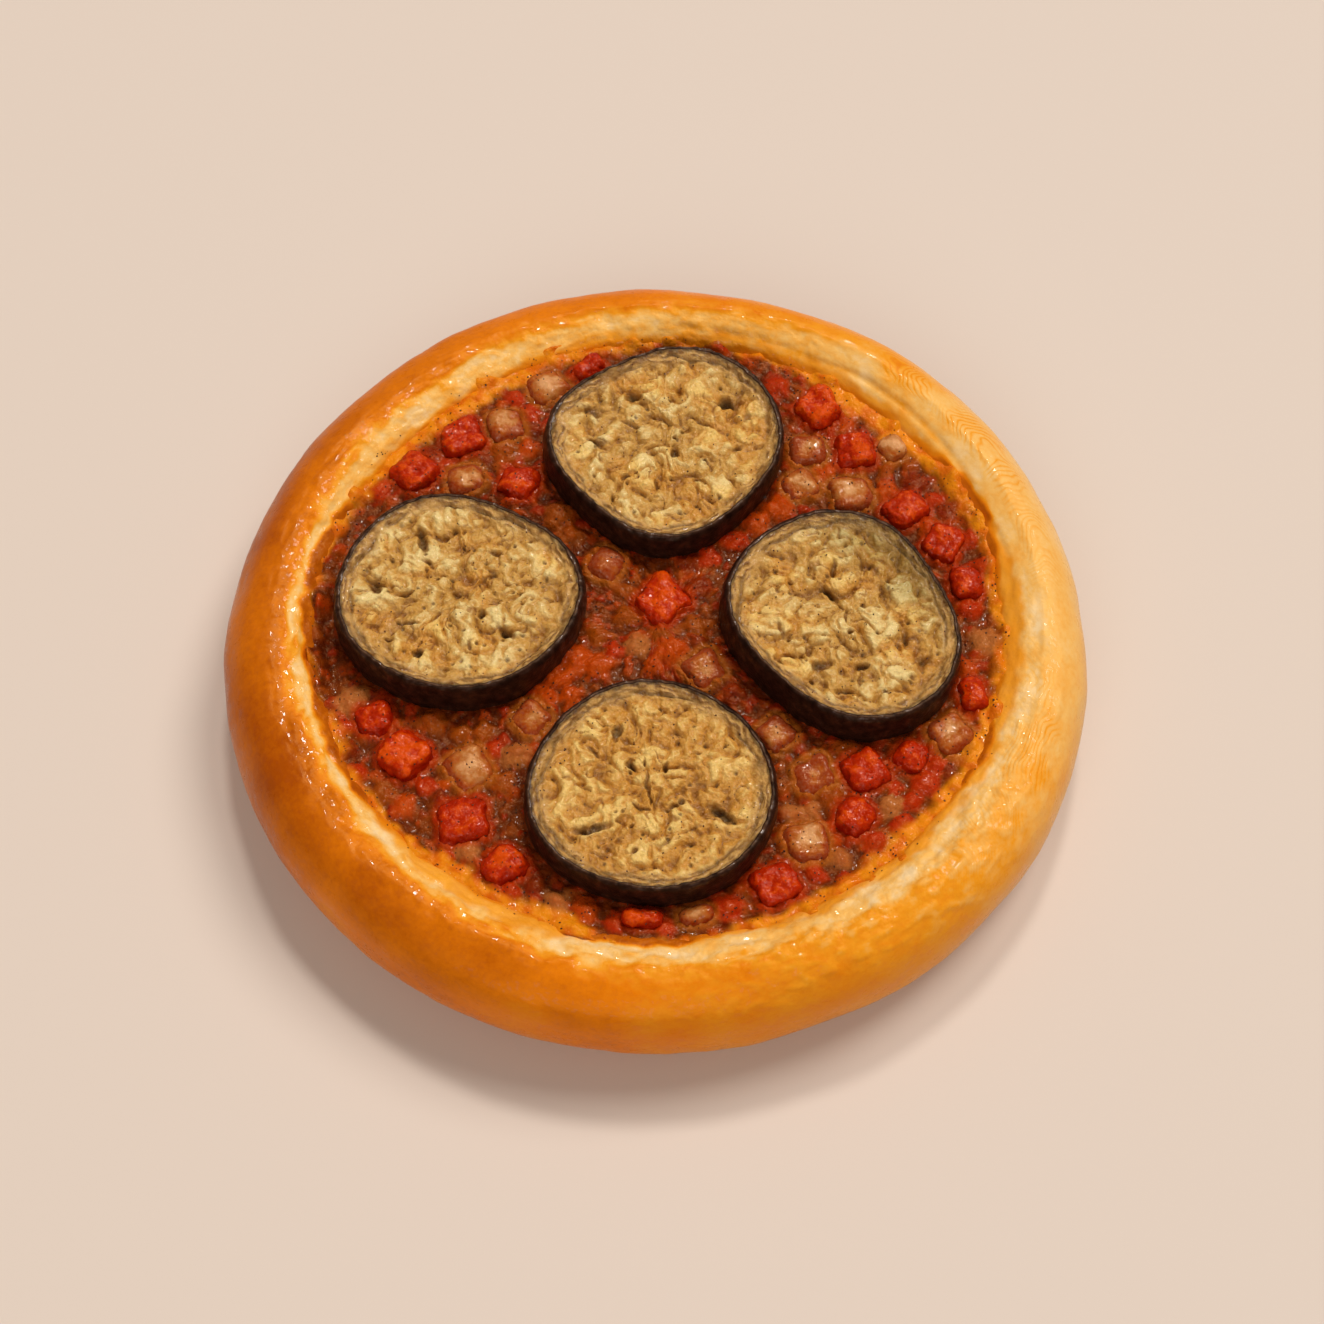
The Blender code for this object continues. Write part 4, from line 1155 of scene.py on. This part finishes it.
# %% Slice profile
# Share of the radius, share of the height and how far it bulges, from the middle of the face to the middle
# below.
SLICE_STEPS = 440
FLESH_END = 0.965
face_rings = [(u, 1.0, 0.0) for u in np.linspace(0.0, FLESH_END, 84)]
lip_rings = [(0.972, 1.006, 0.0), (0.980, 1.010, 0.0), (0.990, 1.006, 0.0), (0.997, 0.992, 0.05),
             (1.0, 0.965, 0.12)]
wall_rings = [(1.0, v, 0.12 + 0.5 * math.sin(math.pi * (1.0 - v) ** 0.8))
              for v in np.linspace(0.93, 0.10, 24)]
foot_rings = [(0.995, 0.05, 0.2), (0.98, 0.015, 0.1)] + [(u, 0.0, 0.0) for u in (0.94, 0.7, 0.35, 0.0)]
SLICE_RINGS = face_rings + lip_rings + wall_rings + foot_rings
print("slice profile:", len(SLICE_RINGS), "rings")


# %% Shape a slice
def pit_depth(x, y, pits):
    """How deep the pits are at each point, and how dark: the deepest pit counts."""
    deep = np.zeros(len(x))
    flat = tilted(x, y)
    x = x + 0.35 * soft_noise(flat, 1.3, 81) + 0.6 * soft_noise(flat, 3.4, 83)
    y = y + 0.35 * soft_noise(flat, 1.3, 82) + 0.6 * soft_noise(flat, 3.4, 84)
    for px, py, long, wide, turn, depth in pits:
        c, s = math.cos(math.radians(turn)), math.sin(math.radians(turn))
        u, v = ((x - px) * c + (y - py) * s) / long, (-(x - px) * s + (y - py) * c) / wide
        deep = np.maximum(deep, depth * ease(1.2, 0.1, np.hypot(u, v)))
    return deep


def slice_piece(name, spec, number):
    """Turn one slice, lay it in its place as the CAD model does, and sink and paint its face."""
    profile = [(u * spec["radius"] + out, v * SLICE_THICKNESS) for u, v, out in SLICE_RINGS]
    mesh = turned(name, profile, SLICE_STEPS)
    row = read_layer(mesh, "row")
    unit = points_of(mesh)
    angle = np.arctan2(unit[:, 1], unit[:, 0])
    scale = 1.0 + waves(angle, spec["waves"]) / spec["radius"]
    drop = 1.0 - unit[:, 2] / SLICE_THICKNESS
    local = np.column_stack([unit[:, 0] * scale + spec["lean"][0] * drop,
                             unit[:, 1] * scale + spec["lean"][1] * drop,
                             unit[:, 2] - SLICE_THICKNESS / 2.0])
    turn = np.array(Euler([math.radians(d) for d in (*spec["tip"], 0.0)]).to_matrix())
    middle = np.array([*spec["centre"], spec["face"] - SLICE_THICKNESS / 2.0])
    place = local @ turn.T + middle
    x, y = place[:, 0], place[:, 1]
    share = np.hypot(unit[:, 0], unit[:, 1]) / spec["radius"]
    inset = (1.0 - share) * spec["radius"]
    flat = tilted(x, y, spec["cut"])

    # The spongy middle: puffs of two sizes with creases between them, fine crinkles, and pricks where seeds
    # sat.
    bend = np.column_stack([soft_noise(flat, 4.5, 91), soft_noise(flat, 4.5, 92), soft_noise(flat, 4.5, 93)])
    bent = flat + 1.0 * bend
    crumbs = rough_noise(bent, 1.3, 2, 132)
    puffs = np.minimum(1.0, 3.0 * np.abs(soft_noise(bent, 6.4, 130))) ** 0.7
    small_puffs = np.minimum(1.0, 2.8 * np.abs(soft_noise(bent, 3.2, 131))) ** 0.7
    swell = ease(-0.50, 0.50, soft_noise(bent, 6.0, 133))
    crinkle = (1.0 - np.minimum(1.0, 3.2 * np.abs(soft_noise(bent, 1.25, 136)))) ** 1.5
    height = 0.36 * puffs + 0.25 * small_puffs + 0.17 * swell + 0.09 * crinkle + 0.10 * crumbs + 0.02
    crease = (ease(0.10, 0.0, np.abs(soft_noise(bent, 3.4, 134)))
              * ease(0.05, 0.35, soft_noise(flat, 3.2, 135)))
    first, chance = cells(x + 0.5 * bend[:, 0], y, 3.2, 140 + number)
    pricks = ease(0.50, 0.15, first) * (chance > 0.68)
    sponge = ease(1.9, 4.0, inset + 1.0 * soft_noise(flat, 5.0, 88) + 0.5 * soft_noise(flat, 2.0, 89))
    pits = pit_depth(x, y, PITS[name])

    # The rim: fibres that follow the outline, broken and uneven, and a flap that has torn loose here and
    # there.
    ring_line = inset + 1.1 * soft_noise(flat, 5.0, 94) + 0.6 * soft_noise(flat, 1.7, 95)
    fibre = np.sin(ring_line * math.tau / 1.0) * ease(-0.40, 0.30, soft_noise(flat, 2.8, 96))
    fold_line = inset - 2.2 + 0.9 * soft_noise(flat, 5.0, 97) + 0.35 * soft_noise(flat, 1.6, 98)
    fold = ease(0.50, 0.0, np.abs(fold_line)) * ease(-0.45, 0.15, soft_noise(flat, 6.0, 99))
    sink = (0.10 + sponge * (2.70 * (0.82 - height) + 0.35 * crease + 0.40 * pricks) + 0.85 * pits
            + 0.45 * ease(0.6, 2.6, inset) + (1.0 - sponge) * (0.12 * (1.0 - crumbs) - 0.16 * fibre)
            + 0.50 * fold)
    on_face = (row < len(face_rings) - 0.5)
    edge_fade = ease(FLESH_END + 0.003, FLESH_END - 0.02, share)
    sink = np.where(on_face, np.maximum(sink, -0.1) * edge_fade, 0.0)
    wall = (row > len(face_rings) + 2.5) & (row < len(face_rings) + len(lip_rings) + len(wall_rings) + 0.5)
    outward = np.column_stack([np.cos(angle), np.sin(angle), np.zeros(len(x))])
    tall = np.column_stack([spec["radius"] * np.cos(angle) + 50.0 * number, spec["radius"] * np.sin(angle),
                            unit[:, 2] * 0.45])
    wrinkle = 0.12 * soft_noise(tall, 1.7, 85) + 0.20 * soft_noise(tall, 5.0, 84)
    place = place + outward * np.where(wall, wrinkle, 0.0)[:, None]
    lip = (row >= len(face_rings) - 1.5) & (row < len(face_rings) + len(lip_rings) - 0.5)
    ruffle = 0.16 * soft_noise(tall, 1.3, 90) + 0.20 * soft_noise(tall, 3.4, 87)
    place[:, 2] += np.where(lip, ruffle, 0.0)
    place = place + outward * np.where(lip, 0.20 * soft_noise(tall, 1.5, 86), 0.0)[:, None]
    place[:, 2] -= sink
    move_points(mesh, place)

    # Painted light and shade: the flesh is drawn lighter on the puffs and darker in the hollows.
    shade = height + 0.10 * soft_noise(flat, 1.2, 104) - 0.15 * crease
    tint = mix((0.25, 0.088, 0.008), (0.58, 0.290, 0.054), ease(0.18, 0.50, shade))
    tint = mix(tint, (0.84, 0.62, 0.250), ease(0.52, 0.84, shade))
    golden = ease(-0.10, 0.50, soft_noise(flat, 6.0, 102)) if name != "eggplant_front" else 0.8
    tint = mix(tint, tint * (1.02, 0.84, 0.50), 0.9 * golden)
    # Painted shade: the creases are drawn brown.
    tint = mix(tint, (0.23, 0.075, 0.010), sponge * 0.75 * crease)
    ring_tint = mix((0.56, 0.29, 0.075), (0.16, 0.055, 0.008),
                    ease(-0.2, 1.0, fibre + 0.9 * soft_noise(flat, 1.9, 103) + 0.55 * ease(2.6, 0.8, inset)))
    tint = mix(ring_tint, tint, sponge)
    # Painted shade: the groove of the torn flap is drawn near black.
    tint = mix(tint, (0.11, 0.042, 0.009), 0.85 * fold)
    if name == "eggplant_right":
        scorch = ease(75.0, 20.0, np.abs(np.degrees(angle) - 50.0)) * ease(0.35, 0.80, share)
        tint = mix(tint, tint * (0.42, 0.42, 0.30), 0.85 * scorch)
    # Painted shade: pits and pricks are drawn brown to near black by their depth.
    tint = mix(tint, (0.22, 0.075, 0.010), 0.9 * ease(0.10, 0.8, pits))
    tint = mix(tint, (0.070, 0.022, 0.004), np.maximum(ease(0.7, 1.7, pits), 0.85 * pricks * sponge))
    charred = ease(1.25, 0.80, inset + 0.35 * soft_noise(flat, 1.5, 105) + 0.25 * soft_noise(flat, 4.0, 106))
    tint = mix(tint, (0.045, 0.018, 0.007), 0.9 * charred)
    fringe = (ease(1.3, 0.5, inset) * ease(0.0, 0.40, soft_noise(flat, 1.8, 107))
              * ease(0.35, -0.75, np.sin(angle)))
    tint = mix(tint, (0.58, 0.34, 0.120), 0.8 * fringe)
    paint_layer(mesh, "tint", tint)
    paint_layer(mesh, "lip", ease(1.3, 0.2, np.abs(row - len(face_rings) - 1.0)))
    paint_layer(mesh, "sprinkle", np.where(on_face, 1.0, 0.0) * ease(0.97, 0.90, share))
    faces = np.zeros(len(mesh.polygons), np.int32)
    for face in mesh.polygons:
        faces[face.index] = 0 if max(row[v] for v in face.vertices) < len(face_rings) - 0.5 else 1
    piece = show("sfiha_" + name, mesh, [flesh, skin], (name,))
    mesh.polygons.foreach_set("material_index", faces)
    return piece


slices = [slice_piece(name, spec, number) for number, (name, spec) in enumerate(SLICES.items())]

# %% [markdown]
# ## Pepper flakes
# Ground pepper and bits of dried chilli lie on everything that was in the pan. They are loose grains of a
# few tenths of a millimetre. A Geometry Nodes tree scatters a small squashed ball over a piece, as densely
# as the piece's "sprinkle" layer says, and makes the copies real. One run for each piece gives each its own
# seed, and all flakes are joined in one mesh.

# %% The sprinkling tree
sprinkling, given, result = new_tree(
    "sprinkled flakes", "GeometryNodeTree",
    [("Bed", "NodeSocketGeometry", None), ("Density", "NodeSocketFloat", 100000.0),
     ("Smallest", "NodeSocketFloat", 0.12), ("Largest", "NodeSocketFloat", 0.30),
     ("Seed", "NodeSocketInt", 1), ("Finish", "NodeSocketMaterial", None)],
    [("Geometry", "NodeSocketGeometry")])
where_to = add_node(sprinkling, "GeometryNodeInputNamedAttribute", ("sprinkle",),
                    {"data_type": "FLOAT"}).outputs[0]
how_many = times(sprinkling, given["Density"], where_to)
spots = add_node(sprinkling, "GeometryNodeDistributePointsOnFaces", options={"distribute_method": "RANDOM"},
                 Mesh=given["Bed"], Density=how_many, Seed=given["Seed"])
flake = add_node(sprinkling, "GeometryNodeMeshIcoSphere", Radius=1.0 * MM, Subdivisions=1)
turn = add_node(sprinkling, "FunctionNodeRandomValue", options={"data_type": "FLOAT_VECTOR"},
                Seed=given["Seed"])
size = add_node(sprinkling, "FunctionNodeRandomValue", options={"data_type": "FLOAT"}, Seed=given["Seed"])
placed = add_node(sprinkling, "GeometryNodeInstanceOnPoints", Points=spots.outputs["Points"],
                  Instance=flake.outputs[0])
for socket, value in (("Min", (-1.2, -1.2, 0.0)), ("Max", (1.2, 1.2, math.tau))):
    [s for s in turn.inputs if s.name == socket and s.type == "VECTOR"][0].default_value = value
for socket, source in (("Min", given["Smallest"]), ("Max", given["Largest"])):
    sprinkling.links.new(source, [s for s in size.inputs if s.name == socket and s.type == "VALUE"][0])
spin = [s for s in turn.outputs if s.type == "VECTOR"][0]
wide = [s for s in size.outputs if s.type == "VALUE"][0]
sprinkling.links.new(spin, placed.inputs["Rotation"])
shape = add_node(sprinkling, "ShaderNodeCombineXYZ", (wide, times(sprinkling, wide, 0.75),
                                                      times(sprinkling, wide, 0.45)))
sprinkling.links.new(shape.outputs[0], placed.inputs["Scale"])
close_tree(sprinkling, placed.outputs[0], given, result)
print("sprinkling tree:", len(sprinkling.nodes), "nodes")

# %% Sprinkle the pepper
flakes, tree, shader = new_finish("pepper_flakes", Roughness=0.45, Specular_IOR_Level=0.2)
mask, height = grain(tree, object_place(tree), 0.9)
feed(shader, "Base Color", blend_colours(tree, mask, (0.020, 0.006, 0.003), (0.10, 0.022, 0.006)))
bump(tree, shader, height, 0.10)
BEDS = [(filling, 160000.0, 0.15, 0.30), (bread, 150000.0, 0.10, 0.24)]
BEDS += [(piece, 60000.0, 0.13, 0.25) for piece in slices] + [(piece, 130000.0, 0.15, 0.28) for piece in dice]
together = bmesh.new()
for number, (bed, density, smallest, largest) in enumerate(BEDS):
    together.from_mesh(grow(bed.data.copy(), sprinkling, Density=density, Smallest=smallest, Largest=largest,
                            Seed=number + 1, Finish=flakes))
flake_mesh = bpy.data.meshes.new("flakes")
together.to_mesh(flake_mesh)
together.free()
show("sfiha_pepper_flakes", flake_mesh, [flakes])

# %% [markdown]
# ## The table
# A plain pale floor catches the soft shadow.

# %% Floor
floor_mesh = bpy.data.meshes.new("floor")
floor_mesh.from_pydata([(-3, -3, 0), (3, -3, 0), (3, 3, 0), (-3, 3, 0)], [], [(0, 1, 2, 3)])
floor = put("floor", floor_mesh)
table, tree, shader = new_finish("table", Roughness=0.7, Base_Color=(0.66, 0.545, 0.46, 1.0))
floor_mesh.materials.append(table)
print("floor ready")
